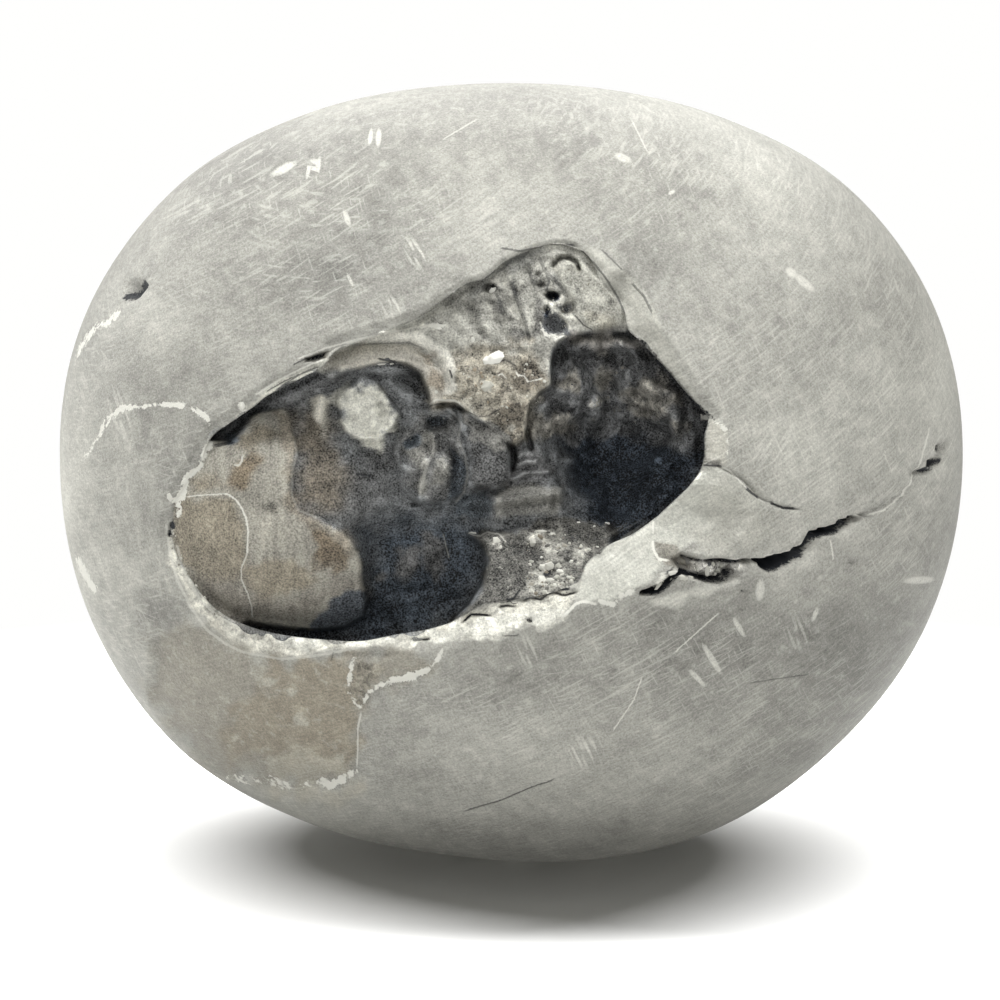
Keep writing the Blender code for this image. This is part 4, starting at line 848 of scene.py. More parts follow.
# Small spots inside the mouth, some stains and some painted shadows and highlights of crystals, lumps and
# ribs: middle, radii, turn in degrees, and how many doublings of brightness lighter.
TONE_SPOTS = (
    ((412, 379), (1.2, 1.5), -30, -0.8), ((426, 440), (0.9, 0.45), 40, 0.99),
    ((419, 459), (0.8, 0.8), 0, 0.81), ((402, 456), (0.35, 0.6), 0, -0.98),
    # The second is a painted highlight on the knob's right lobe.
    ((439, 470), (0.95, 1.6), 0, 0.45), ((447, 470), (0.3, 0.7), 0, 0.36), ((408, 477), (0.6, 0.5), 0, 0.36),
    ((416, 489), (0.22, 0.7), 0, -0.9), ((447, 506), (0.15, 0.12), 0, 1.44),
    ((439, 498), (0.9, 0.45), 0, -0.81), ((454, 475), (0.6, 2.4), 0, -0.81),
    ((442, 413), (1.1, 0.55), 0, 0.54), ((449, 411), (0.3, 0.3), 0, 0.36), ((439, 422), (1.1, 0.3), 0, -0.9),
    ((455, 408), (0.5, 0.2), 0, -0.54), ((452, 444), (0.12, 0.4), 0, 0.81),
    ((480, 427), (0.7, 0.35), 0, -0.72), ((495, 439), (0.6, 0.5), 0, 0.45),
    ((471, 441), (0.5, 0.35), 0, 0.45), ((474, 459), (0.25, 0.7), 0, -0.83), ((485, 471), (1, 1.2), 0, 0.36),
    ((502, 465), (0.6, 1.3), 0, -0.45), ((523, 443), (0.6, 0.6), 0, -0.18),
    ((498, 504), (0.35, 0.9), 0, 0.54), ((480, 506), (0.9, 0.7), 0, -0.36), ((530, 501), (1.2, 0.5), 5, 0.18),
    ((558, 357), (0.9, 0.95), -40, -1.65), ((604, 356), (1, 0.6), -10, -1.27),
    ((584, 354), (1, 0.5), 0, -0.63), ((583, 389), (2.8, 2.4), 0, 0.54), ((568, 389), (0.9, 0.7), 0, 0.5),
    ((622, 380), (0.35, 0.8), -15, 0.8), ((628, 390), (0.35, 0.25), -40, 1),
    ((636, 399), (0.4, 0.18), -20, 1.1), ((643, 404), (0.16, 0.16), 0, 1), ((649, 387), (0.45, 0.4), 0, 0.9),
    ((660, 403), (1.8, 1.8), -45, 0.3), ((675, 421), (0.45, 0.8), 0, 0.6), ((595, 405), (0.5, 1), 20, 0.9),
    ((586, 421), (0.22, 0.45), 0, 0.7), ((566, 419), (0.9, 0.6), 0, 0.6), ((540, 404), (0.7, 0.5), 0, 0.5),
    ((693, 415), (0.35, 0.5), 0, 0.54), ((647, 434), (2.6, 1.4), -25, -0.9),
    ((564, 407), (0.9, 0.35), -25, -0.9), ((658, 460), (0.2, 0.2), 0, 1.8),
    ((613, 477), (0.14, 0.2), 0, 1.35), ((629, 486), (4.2, 2), 5, -0.54), ((578, 498), (2, 1.2), 0, 0.63),
    ((626, 512), (1.8, 0.8), 25, 0.63), ((611, 529), (0.6, 0.5), 30, -1.05), ((616, 341), (1, 0.3), 35, 0.45),
    ((586, 342), (0.9, 0.5), 0, 0.45), ((540, 281), (0.5, 1), 20, -0.72), ((553, 306), (0.25, 0.2), 0, 1.08),
    ((561, 301), (0.2, 0.5), 0, 0.99), ((536, 322), (0.6, 1.2), 0, -0.54),
    ((453, 302), (0.8, 0.35), 30, -0.54), ((482, 319), (0.6, 0.6), 0, -0.32),
    # The first is painted shadow beside the large white crystal.
    ((510, 359), (0.7, 0.35), 0, -0.81), ((489, 371), (0.7, 0.25), 0, -0.72),
    ((473, 288), (0.5, 0.7), -35, -0.63), ((534, 310), (0.25, 0.6), 0, 0.54),
    ((519, 362), (0.8, 0.3), 0, 0.27), ((528, 373), (0.9, 0.6), 0, -0.32), ((543, 389), (0.7, 0.6), 0, -0.45),
    ((469, 390), (1, 0.6), 0, 0.23), ((500, 402), (1, 0.5), 0, 0.23), ((577, 290), (0.15, 0.15), 0, -0.9),
    ((610, 302), (0.16, 0.16), 0, -1.5), ((502, 279), (0.8, 0.4), 35, 0.36),
    ((434, 328), (0.25, 0.12), -10, 0.72), ((424, 328), (0.2, 0.12), 0, 0.72),
    ((346, 580), (1.6, 1.2), 0, -0.27), ((409, 554), (1.2, 1.6), 0, 0.45), ((388, 576), (1, 1.2), 0, 0.32),
    ((438, 546), (0.5, 1.2), -15, 0.36), ((436, 594), (2, 1.4), 20, -0.36), ((380, 610), (3, 1.2), 0, -0.45),
    ((368, 476), (0.8, 0.3), -8, -0.81), ((378, 456), (0.6, 0.3), -20, -0.54),
    ((388, 502), (1.2, 0.8), 0, 0.27), ((375, 510), (0.3, 0.25), 0, -0.81),
    ((360, 452), (0.9, 0.5), -30, -0.45), ((340, 378), (0.5, 0.5), 0, -0.63),
    ((292, 396), (0.9, 0.5), 0, 0.45), ((316, 389), (0.35, 0.12), 10, 1.44),
    ((334, 395), (0.5, 0.7), 0, -0.54), ((406, 392), (0.6, 0.9), 30, 0.54), ((414, 416), (0.7, 0.8), 0, 0.36),
    ((392, 386), (0.5, 0.7), 40, 0.36), ((402, 428), (0.8, 0.4), 0, -0.63),
    ((378, 374), (0.7, 0.3), -20, 0.27), ((498, 544), (0.3, 0.5), 0, 1.35), ((541, 536), (1.3, 0.5), 5, 0.63),
    ((534, 553), (0.8, 0.4), -10, -0.83), ((584, 536), (2.2, 0.8), 0, -0.54),
    ((593, 553), (0.6, 0.4), 20, -0.81), ((582, 550), (0.15, 0.8), 0, 1.08),
    ((590, 548), (0.8, 0.15), -5, 0.9), ((547, 567), (0.7, 0.4), 0, 0.72),
    ((551, 574), (0.35, 0.15), 25, -1.5), ((548, 583), (1, 0.6), 0, 0.72),
    ((561, 571), (0.35, 0.25), -10, 1.08), ((562, 579), (0.2, 0.4), 0, -0.63),
    ((535, 560), (0.5, 0.5), 0, -0.45), ((510, 558), (1.4, 1.6), 0, -0.18),
    ((494, 578), (0.8, 1.6), -25, -0.36), ((552, 548), (0.5, 1), 0, -0.27),
    ((570, 556), (0.8, 0.8), 0, -0.27), ((523, 579), (0.8, 0.6), 30, -0.45),
    ((514, 594), (0.5, 0.35), 45, 0.45), ((509, 632), (0.9, 0.25), 35, -0.45),
    ((256, 520), (1, 1.8), 0, 0.14), ((212, 530), (1.8, 1.4), 0, 0.14), ((269, 509), (0.5, 0.2), 20, -0.72),
    ((330, 554), (0.9, 1.2), 30, -0.32), ((345, 546), (0.3, 0.4), -30, 0.36),
    ((236, 578), (1.2, 1), -30, -0.41), ((196, 599), (0.3, 0.2), -40, -0.9),
    ((207, 609), (0.3, 0.2), -40, -0.9), ((214, 614), (0.4, 0.16), -25, -0.9),
    ((179, 564), (0.2, 0.35), 20, -0.81), ((256, 639), (0.8, 0.2), -8, -0.45),
    ((693, 565), (1.3, 0.5), -22, 0.45), ((712, 573), (0.3, 0.6), 0, 1.17), ((728, 572), (0.5, 0.4), 0, 1.08),
    ((723, 564), (0.5, 0.25), 0, -1.2), ((733, 575), (0.6, 0.25), 30, -1.2),
    ((714, 563), (0.3, 0.4), 0, -0.9), ((675, 572), (0.3, 0.4), 30, 0.81),
    ((662, 580), (0.2, 0.7), -25, 1.17),
)
# Longer light and dark edges inside the mouth, several of the dark ones painted shadows under ledges, ribs, a
# crystal and the overhang: path, half width, and doublings of brightness.
TONE_LINES = (
    (((392, 364), (406, 366), (415, 371), (422, 379), (427, 389), (428, 398)), 0.32, -1.5),
    (((336, 372), (356, 369), (376, 367)), 0.3, -0.43), (((404, 382), (416, 390), (422, 399)), 0.2, -0.5),
    # Painted shadow in the gap below the whorl, along the lower lip.
    (((236, 623), (266, 631), (295, 635), (332, 637), (368, 634), (400, 629)), 0.35, -0.87),
    (((692, 472), (696, 468), (699, 471), (697, 477), (693, 479), (691, 475), (692, 472)), 0.12, 1.28),
    (((364, 414), (374, 406), (386, 404), (392, 406)), 0.2, -0.31), (((350, 394), (358, 390)), 0.2, -0.19),
    (((390, 404), (393, 410)), 0.18, -0.31), (((344, 410), (352, 420)), 0.16, -0.15),
    (((395, 453), (399, 460), (405, 468), (416, 471)), 0.2, 0.8),
    (((426, 460), (424, 470), (423, 478), (426, 481), (423, 490), (420, 498)), 0.3, 0.8),
    (((408, 443), (416, 435), (430, 426)), 0.35, -0.68),
    (((461, 423), (456, 431), (455, 440), (460, 448), (466, 456), (470, 466), (470, 475), (468, 485),
      (466, 495)),
     0.26, 0.72),
    (((469, 422), (463, 431), (464, 441)), 0.16, -0.56), (((466, 451), (480, 451), (494, 453)), 0.16, -0.37),
    (((475, 490), (492, 486), (507, 480)), 0.26, -0.99),
    (((505, 443), (513, 450), (515, 460), (513, 468)), 0.2, -1.18),
    (((528, 435), (532, 442), (532, 449)), 0.2, -0.87), (((518, 456), (525, 453), (531, 454)), 0.16, 0.72),
    (((515, 464), (524, 461), (534, 461)), 0.16, 0.72), (((510, 475), (525, 471), (546, 470)), 0.2, 0.64),
    (((514, 460), (534, 457.5)), 0.14, -0.37), (((512, 470), (536, 466)), 0.14, -0.37),
    (((508, 489), (534, 485), (556, 482)), 0.25, -0.43),
    (((495, 496), (518, 492), (542, 488), (560, 488)), 0.25, 0.48),
    (((468, 495), (482, 492), (492, 495)), 0.18, 0.56), (((494, 500), (494, 515)), 0.2, -0.68),
    (((544, 512), (544, 502), (543, 498)), 0.16, -0.31), (((464, 518), (500, 522), (530, 522)), 0.35, -0.5),
    (((649, 360), (680, 392), (700, 420), (699, 456)), 0.9, -0.74),
    # The first is painted shadow under the upper edge.
    (((504, 269), (515, 260), (529, 254)), 0.45, -0.37), (((469, 292), (487, 281)), 0.4, -0.31),
    # Painted shadow above the white crystal.
    (((487, 288), (493, 285), (499, 290)), 0.18, -1.12),
    # Painted shadow beside a rib.
    (((484, 299), (494, 302), (502, 308), (506, 316)), 0.35, -0.43),
    (((511, 284), (515, 293), (520, 302)), 0.25, -0.5), (((466, 305), (472, 310), (476, 316)), 0.3, -0.5),
    (((512, 303), (518, 316), (525, 332)), 0.22, 0.36), (((530, 326), (531, 348)), 0.16, -0.37),
    (((486, 296), (496, 314), (508, 328)), 0.4, 0.2), (((581, 251), (590, 258), (596, 264)), 0.3, -0.28),
    (((530, 352), (546, 346), (556, 342)), 0.2, -0.31), (((504, 346), (516, 349), (530, 350)), 0.14, -0.31),
    # Painted shadow along the top of the gap under the overhanging upper edge.
    (((224, 434), (252, 411), (268, 399.5), (289, 388), (315, 377), (330, 371)), 0.3, -1.12),
    (((270, 393), (278, 389), (288, 383)), 0.16, 0.4), (((266, 385), (278, 381), (290, 375)), 0.16, -0.31),
    (((294, 366), (314, 359), (330, 350)), 0.3, 0.2), (((244, 402), (264, 388), (276, 383)), 0.2, -0.19),
    (((294, 442), (295, 456), (290, 471), (289, 500), (295, 511), (305, 517), (325, 525)), 0.25, -0.19),
    (((442, 518), (450, 540), (452, 568), (444, 590)), 0.3, -0.25), (((369, 550), (370, 580)), 0.4, -0.31),
    (((433, 528), (440, 544), (442, 560)), 0.16, 0.4), (((364, 596), (400, 608), (426, 600)), 0.5, -0.12),
    (((502, 537), (508, 546), (516, 563)), 0.14, 0.48), (((526, 549), (536, 547), (543, 552)), 0.14, -0.81),
    (((529, 538), (540, 532), (555, 534)), 0.18, 0.4), (((523, 589), (528, 580)), 0.12, -0.62),
    (((526, 600), (540, 600)), 0.16, -0.37), (((544, 593), (560, 586)), 0.2, 0.24),
    (((623, 536), (644, 522), (663, 505), (686, 483)), 0.35, -0.31),
    (((270, 639), (310, 643), (360, 643)), 0.3, 0.16), (((242, 621), (232, 622)), 0.16, 0.48),
    (((470, 298), (475, 312), (484, 336)), 0.3, -0.4), (((496, 292), (503, 308), (512, 328)), 0.35, -0.5),
    (((512, 280), (517, 298), (526, 338)), 0.35, -0.6), (((528, 266), (532, 284), (536, 312)), 0.3, -0.5),
    (((483, 294), (489, 310), (498, 332)), 0.3, 0.3), (((505, 284), (510, 302), (518, 330)), 0.3, 0.3),
)
# Pale calcite seams as bands: path and half width in mm.
WHITE_VEINS = (
    (((209, 442), (206, 448), (202, 457), (200, 464), (192, 473), (185, 477), (184, 484), (181, 496),
      (172, 502)),
     (0.3, 0.36, 0.26, 0.2, 0.3, 0.34, 0.3, 0.42, 0.3)),
    (((173, 500), (178, 508), (178, 516)), 0.2),
    (((84, 460), (100, 436), (109, 418), (123, 408), (134, 406), (144, 408)),
     (0.06, 0.14, 0.2, 0.2, 0.28, 0.1)),
    (((144, 406), (160, 404), (164, 404), (182, 405)), (0.08, 0.08, 0.32, 0.3)),
    (((192, 409), (202, 413), (207, 420), (208, 423)), (0.22, 0.34, 0.3, 0.2)),
    (((123, 309), (110, 324), (98, 325), (89, 336), (82, 346), (77, 358)), (0.24, 0.36, 0.16, 0.3, 0.3, 0.1)),
    (((240, 404), (242, 410)), 0.32), (((80, 560), (86, 574), (95, 590)), 0.3),
    (((430, 327), (445, 326)), 0.2),
    (((540, 324), (544, 334), (556, 338), (566, 336)), (0.1, 0.24, 0.2, 0.1)),
    (((703, 418), (709, 420)), 0.2), (((723, 426), (727, 436)), 0.2),
    (((600, 601), (612, 605), (622, 595), (634, 591)), 0.22),
    (((353, 659), (349, 674), (346, 694), (356, 709)), (0.08, 0.16, 0.14, 0.12)),
    (((708, 419), (722, 424), (728, 436), (727, 454)), (0.08, 0.16, 0.12, 0.06)),
    (((360, 709), (366, 696), (379, 687), (394, 680), (409, 678), (426, 671), (436, 662), (442, 650)),
     (0.12, 0.16, 0.2, 0.34, 0.4, 0.3, 0.16, 0.1)),
    (((355, 774), (343, 782), (329, 788), (316, 786), (296, 789), (278, 788), (264, 783), (246, 783),
      (226, 779)),
     (0.14, 0.34, 0.4, 0.1, 0.12, 0.34, 0.12, 0.2, 0.1)),
)
# Fine pale lines: path, half width and how strongly they show.
WHITE_LINES = (
    (((254, 395), (280, 379), (300, 369), (324, 359)), 0.08, 0.6),
    (((300, 358), (324, 349), (356, 340), (386, 334)), 0.09, 0.7),
    (((184, 497), (205, 495), (223, 494)), 0.05, 0.75),
    (((225, 494), (234, 500), (240, 509), (244, 518), (246, 531), (245, 555)), 0.08, 0.85),
    (((245, 555), (239, 569), (239, 580), (245, 594), (249, 607), (250, 618)), 0.06, 0.6),
    (((233, 465), (237, 466), (240, 461), (241, 455)), 0.08, 0.6),
    (((360, 714), (356, 732), (356, 754), (355, 772)), 0.1, 0.6),
    (((165, 526), (168, 550), (175, 579), (188, 606), (204, 631), (222, 645), (240, 654), (278, 661),
      (310, 658), (337, 653), (368, 646)),
     0.12, 0.35),
    (((176, 546), (182, 572), (198, 600), (216, 618), (236, 628)), 0.12, 0.3),
    (((560, 620), (576, 603), (584, 601), (596, 604)), 0.13, 0.9),
    (((345, 344), (380, 336), (410, 329), (436, 324)), 0.06, 0.6),
    (((653, 541), (654, 550), (660, 560), (669, 561)), 0.12, 0.9), (((653, 521), (653, 534)), 0.08, 0.8),
    (((430, 404), (436, 400), (455, 401), (461, 404)), 0.09, 0.7),
    (((516, 372), (518, 376), (524, 376), (528, 382), (542, 379)), 0.06, 0.8),
    (((498, 376), (502, 374), (506, 379)), 0.06, 0.9), (((452, 373), (454, 380), (452, 386)), 0.08, 0.9),
    (((468, 533), (473, 535), (480, 536), (487, 532), (499, 534), (506, 542)), 0.06, 0.6),
    (((450, 409), (461, 423), (458, 440), (465, 456), (468, 474), (464, 492), (456, 502)), 0.1, 0.18),
    (((434, 442), (433, 454), (427, 464), (423, 480), (419, 494)), 0.14, 0.2),
    (((443, 534), (446, 546), (449, 558)), 0.05, 0.25),
    (((293, 440), (295, 454), (290, 474), (290, 496), (297, 511), (318, 519)), 0.1, 0.16),
    (((443, 140), (478, 118)), 0.05, 0.45), (((631, 118), (648, 153)), 0.05, 0.5),
    (((674, 654), (719, 614)), 0.05, 0.7), (((642, 677), (634, 700), (613, 730)), 0.05, 0.7),
    (((866, 516), (886, 510), (905, 494), (916, 476), (922, 460), (930, 430)), 0.07, 0.6),
    (((831, 541), (834, 559)), 0.06, 0.7),
    (((722, 467), (730, 471), (742, 483), (754, 496), (764, 502), (774, 504)), 0.07, 0.6),
    (((764, 556), (784, 553), (798, 547), (808, 538), (822, 528), (838, 523), (862, 513)), 0.07, 0.6),
)
# Thin dark cracks, in two lists so that neighbours in one list stay well apart: path, half width, strength.
DARK_LINES = (
    (((266, 391), (284, 381), (302, 373)), 0.05, 0.7), (((294, 364), (309, 357)), 0.06, 0.7),
    (((264, 426), (269, 444), (268, 462)), 0.04, 0.3),
    (((462, 811), (480, 805), (500, 799), (532, 785), (554, 778)), 0.05, 0.75),
    (((746, 488), (752, 493), (759, 498)), 0.12, 0.9), (((772, 503), (784, 508), (799, 509)), 0.1, 0.9),
    (LEDGE_CRACKS[0], 0.08, 0.85), (LEDGE_CRACKS[2], 0.09, 1), (LEDGE_CRACKS[4], 0.08, 0.9),
    (((518, 635), (504, 635)), 0.06, 0.6), (((352, 346), (380, 344), (410, 343), (424, 349)), 0.06, 0.35),
    (((581, 251), (594, 264), (604, 276), (618, 298), (625, 314)), 0.09, 0.6),
    (((502, 249), (520, 252), (553, 246), (574, 246)), 0.09, 0.6), (((704, 465), (721, 466)), 0.08, 0.8),
    (((750, 685), (780, 680), (813, 675)), 0.04, 0.45), (((450, 370), (452, 378)), 0.08, 0.9),
    (((332, 654), (330, 662)), 0.05, 0.4), (((632, 283), (644, 296), (652, 312)), 0.1, 0.5),
    (((386, 434), (398, 432)), 0.1, 0.6), (((212, 446), (230, 442)), 0.16, 0.8),
)
MORE_DARK_LINES = (
    (LEDGE_CRACKS[1], 0.08, 0.85), (LEDGE_CRACKS[3], 0.09, 0.9), (((560, 590), (569, 588)), 0.12, 1),
    (((430, 406), (438, 404), (456, 403), (466, 411), (478, 417), (488, 416), (500, 409)), 0.06, 0.6),
    (((379, 359), (396, 362)), 0.1, 0.9), (((280, 386), (300, 374), (320, 366)), 0.07, 0.7),
    (((354, 474), (370, 476)), 0.09, 0.7), (((574, 315), (584, 326), (592, 330)), 0.06, 0.7),
    (((600, 249), (612, 260), (622, 270)), 0.06, 0.5), (((693, 480), (700, 472), (701, 467)), 0.06, 0.6),
    (((494, 364), (506, 360), (516, 366)), 0.08, 0.6), (((666, 574), (674, 568)), 0.08, 0.7),
    (((483, 282), (494, 273), (502, 271), (511, 261), (522, 258), (530, 252)), 0.12, 0.5),
    (((540, 260), (545, 272), (554, 280), (562, 288)), 0.16, 0.45),
    (((496, 294), (501, 303), (504, 314)), 0.14, 0.35), (((512, 282), (515, 294), (519, 306)), 0.16, 0.4),
    (((522, 314), (526, 326), (529, 340)), 0.14, 0.45), (((529, 269), (531, 278), (534, 286)), 0.14, 0.4),
    (((546, 274), (549, 282), (546, 292)), 0.1, 0.6),
)
# Open cracks and pits as bands, painted black as the shade inside them: path and half width.
BLACK_CRACKS = (
    (MAIN_CRACK, (0.06, 0.06, 0.34, 0.85, 0.7, 0.55, 0.5, 0.52, 0.48, 0.44, 0.4, 0.5, 0.42, 0.3, 0.08)),
    (LOWER_CRACK, (0.15, 0.46, 0.4, 0.3, 0.26, 0.16, 0.18, 0.26, 0.24, 0.1)),
    (HOLLOW_CRACK, (0.08, 0.12, 0.1, 0.2, 0.26, 0.12)), (LIP_SLIT, (0.05, 0.2, 0.12)),
    (((620, 334), (641, 342), (653, 360), (663, 368), (691, 400), (716, 420)),
     (0.03, 0.06, 0.08, 0.1, 0.14, 0.08)),
    (((128, 298), (145, 284)), (0.4, 0.4)), (((924, 471), (930, 468), (940, 460)), (0.22, 0.34, 0.3)),
    (((940, 452), (944, 444)), (0.14, 0.1)), (((528, 619.5), (530, 620)), 0.14),
    (((171, 524), (171.5, 527)), 0.24), (((168, 533), (169, 535)), 0.2), (((744, 592), (745, 593)), 0.12),
    (((546, 574), (548, 572)), 0.24),
)
# Crystals and broken bits that stand out of the rock: place, half sizes across and up, turn, colour.
CRYSTALS = (
    ((493.5, 358.5), (1, 0.66), 12, (240, 239, 230)), ((488, 361), (0.45, 0.5), 0, (236, 235, 226)),
    ((499, 355), (0.45, 0.35), 20, (238, 237, 228)), ((493.6, 292), (0.5, 0.46), 0, (236, 235, 226)),
    ((488, 386), (0.5, 0.62), -55, (186, 185, 174)), ((473, 341), (0.2, 0.3), 0, (214, 213, 203)),
    ((544.5, 381), (0.22, 0.2), 0, (212, 211, 201)), ((437, 391), (0.16, 0.2), 0, (216, 215, 205)),
    ((383, 363.5), (0.45, 0.16), 4, (214, 213, 203)), ((392, 363), (0.25, 0.14), 0, (206, 205, 195)),
    ((386, 359.5), (0.3, 0.14), 0, (60, 62, 64)), ((241, 406), (0.26, 0.42), 10, (232, 231, 221)),
    ((497, 542), (0.36, 0.5), 20, (222, 221, 211)), ((500, 547), (0.2, 0.26), 0, (226, 225, 215)),
    ((473, 534), (0.4, 0.18), -15, (216, 215, 205)), ((578.5, 522.5), (0.2, 0.13), 0, (236, 235, 226)),
    ((594, 526), (0.14, 0.13), 0, (236, 235, 226)), ((607.5, 523.5), (0.32, 0.15), -15, (240, 239, 230)),
    ((581, 546), (0.18, 0.34), 0, (226, 225, 215)), ((580, 555), (0.16, 0.36), 10, (214, 213, 203)),
    ((589, 549), (0.22, 0.18), 0, (224, 223, 213)), ((597.5, 547.5), (0.2, 0.15), 0, (220, 219, 209)),
    ((549, 566), (0.6, 0.42), 20, (214, 213, 203)), ((542, 569), (0.4, 0.5), 60, (206, 205, 195)),
    ((560.5, 570), (0.36, 0.22), -12, (232, 231, 221)), ((541, 581), (0.42, 0.55), 0, (226, 225, 215)),
    ((550, 579), (0.4, 0.3), 10, (212, 211, 201)), ((555, 586), (0.24, 0.36), 0, (222, 221, 211)),
    ((540, 532), (0.7, 0.24), 6, (216, 215, 205)), ((551, 534), (0.5, 0.2), -8, (212, 211, 201)),
    ((532, 542), (0.32, 0.5), 0, (198, 197, 187)), ((543, 543), (0.3, 0.3), 0, (180, 176, 164)),
    ((561, 302), (0.2, 0.34), 0, (214, 213, 203)), ((553, 306.5), (0.24, 0.14), 35, (206, 205, 195)),
    ((423, 328), (0.2, 0.12), 0, (220, 219, 209)), ((437, 329), (0.32, 0.14), -10, (222, 221, 211)),
    ((453, 382), (0.13, 0.34), 10, (214, 213, 203)), ((559, 329), (0.2, 0.5), 0, (84, 86, 86)),
    ((712, 572), (0.28, 0.6), 0, (186, 185, 175)), ((725, 573), (0.45, 0.3), 20, (190, 189, 179)),
    ((730, 568), (0.3, 0.3), 0, (180, 179, 169)), ((721, 578), (0.3, 0.2), 0, (196, 195, 185)),
    ((694, 566), (1.1, 0.42), -20, (140, 139, 133)), ((686, 563), (0.6, 0.4), -30, (150, 146, 134)),
    ((660, 585), (0.22, 0.7), -28, (176, 175, 164)), ((673, 573), (0.5, 0.22), 20, (206, 205, 195)),
    ((682, 577), (0.4, 0.24), -20, (190, 188, 176)), ((692, 579), (0.36, 0.16), -20, (204, 203, 192)),
    ((706, 423), (0.4, 0.22), -10, (222, 221, 211)), ((703, 416), (0.14, 0.3), 20, (214, 213, 203)),
    ((169, 497), (0.3, 0.5), 20, (216, 215, 205)), ((183, 482), (0.4, 0.3), 40, (220, 219, 209)),
)
# Where smaller grains lie scattered: outline, how many, smallest and largest half size, and their colours.
GRAIN_FIELDS = (
    (((526, 530), (560, 530), (584, 540), (580, 566), (570, 594), (530, 600), (522, 570)), 150, (0.06, 0.34),
     ((206, 205, 195), (168, 164, 152), (140, 132, 116), (120, 119, 112), (190, 189, 178), (98, 97, 92))),
    (((476, 540), (526, 534), (524, 570), (504, 600), (486, 586), (486, 550)), 70, (0.05, 0.16),
     ((140, 139, 132), (112, 112, 107), (160, 159, 150))),
    (((560, 526), (608, 528), (604, 546), (574, 544)), 40, (0.05, 0.2),
     ((96, 96, 92), (120, 118, 110), (74, 75, 76))),
    (((450, 360), (500, 370), (546, 356), (548, 384), (526, 426), (490, 420), (446, 396)), 90, (0.05, 0.2),
     ((186, 183, 170), (150, 138, 118), (128, 124, 114), (200, 199, 188))),
    (((540, 298), (572, 298), (586, 324), (568, 332), (540, 312)), 30, (0.05, 0.2),
     ((180, 177, 164), (120, 116, 106), (202, 201, 190))),
    (((674, 558), (740, 564), (730, 580), (696, 578), (654, 594), (652, 586), (680, 572)), 60, (0.06, 0.28),
     ((160, 158, 148), (108, 106, 100), (186, 185, 174), (66, 67, 68))),
    (((174, 526), (184, 564), (206, 599), (230, 618), (220, 624), (196, 604), (176, 570), (166, 536)), 40,
     (0.05, 0.18), ((206, 205, 194), (130, 126, 114), (190, 188, 177))),
    (((558, 270), (582, 268), (616, 306), (619, 322), (592, 326), (576, 300)), 40, (0.04, 0.12),
     ((206, 205, 195), (150, 148, 140), (130, 122, 106))),
    (((398, 434), (446, 414), (460, 440), (448, 494), (404, 480)), 50, (0.05, 0.16),
     ((120, 120, 115), (90, 90, 87), (150, 150, 143))),
    (((580, 370), (630, 364), (680, 410), (660, 430), (600, 420), (546, 420), (554, 386)), 70, (0.06, 0.22),
     ((104, 103, 98), (72, 75, 78), (130, 127, 118))),
)
GRAIN_SEED = 12
MOSTLY_SMALL = 2.5  # the higher, the fewer large grains
GRAIN_SIDES = 6
GRAIN_RISES = (-90.0, -40.0, 5.0, 45.0, 90.0)  # the rings of a grain, in degrees up from its middle
GRAIN_KNOBBLES = 0.28
GRAIN_FLATNESS = 0.55
# Pale rubbed marks on the skin: middle, slope in degrees, half length and half width in mm.
STROKES = (
    ((285, 171), 28, 1.5, 0.45), ((310, 171), 80, 1.1, 0.22), ((371, 138), 82, 0.9, 0.25),
    ((319, 170), 80, 1.2, 0.28), ((348, 220), -70, 0.95, 0.3), ((379, 139), 86, 1, 0.3),
    ((623, 158), -25, 0.95, 0.42), ((351, 281), -65, 0.75, 0.16), ((805, 282), -40, 1.3, 0.45),
    ((792, 272), -35, 0.7, 0.45), ((761, 590), 85, 1.15, 0.48), ((740, 628), -58, 1.2, 0.3),
    ((713, 660), -58, 1.9, 0.34), ((698, 679), -45, 1.2, 0.28), ((486, 386), -50, 0.8, 0.4),
    ((918, 580), 4, 1.6, 0.4), ((816, 615), 70, 0.8, 0.25), ((672, 192), 30, 0.4, 0.2),
)
# Patches of parallel rubbed strokes: middle, slope, half length along the strokes, half width, strength.
HATCHES = (
    ((416, 254), -60, 2.2, 1.2, 1), ((393, 309), -65, 1.6, 1.4, 0.9), ((528, 650), -68, 2.2, 1.3, 0.7),
    ((584, 752), -66, 2, 2.7, 0.9), ((122, 415), -72, 4, 1.8, 0.6), ((775, 445), 55, 3.6, 2.8, 0.6),
    ((800, 635), -70, 2.4, 2, 0.5), ((628, 556), 35, 4.6, 3.4, 0.5), ((195, 210), 25, 4, 2, 0.4),
)
# Clouds, mottle and flecks of the ground: size, and how strongly each shows.
CLOUDS = (14.0, 0.30)
MOTTLE = (1.6, 0.11)
FLECKS = (0.8, 0.10)
PALE_RANGE = (-0.3, 1.4)  # where the skin's shade stops, as a share of the way from dark to pale
SKIN_GRIT = 0.45
SPECKLED = (0.08, 0.36)  # doublings of brightness that mottle and flecks add, on the skin and by grit
SPOT_SOFTNESS = 0.25
THINNEST_TONE = 0.16
RIDGE_HIGHLIGHTS = (-0.4, -0.08)  # how far ridges may be painted paler, as highlight, inside the mouth and outside
HOLLOW_SHADE = 0.6  # how far hollows may be painted darker, as shade
HOLLOW_REACH = 0.8
WHORL_STREAKS = 0.28
SCUFFED_PATCHES = (9.0, 0.9)  # size of the scuffed patches, and how much they differ
UNSCUFFED = ("scar", "rim_band", "bevel", "triangle")
DUST = (0.42, -0.88)  # strength of the finest specks on white, and the power of brightness they follow


def screen_colour(shade):
    """A screen colour, 0 to 255, as linear light."""
    share = np.asarray(shade, float) / 255.0
    return np.where(share > 0.04045, ((share + 0.055) / 1.055) ** 2.4, share / 12.92)


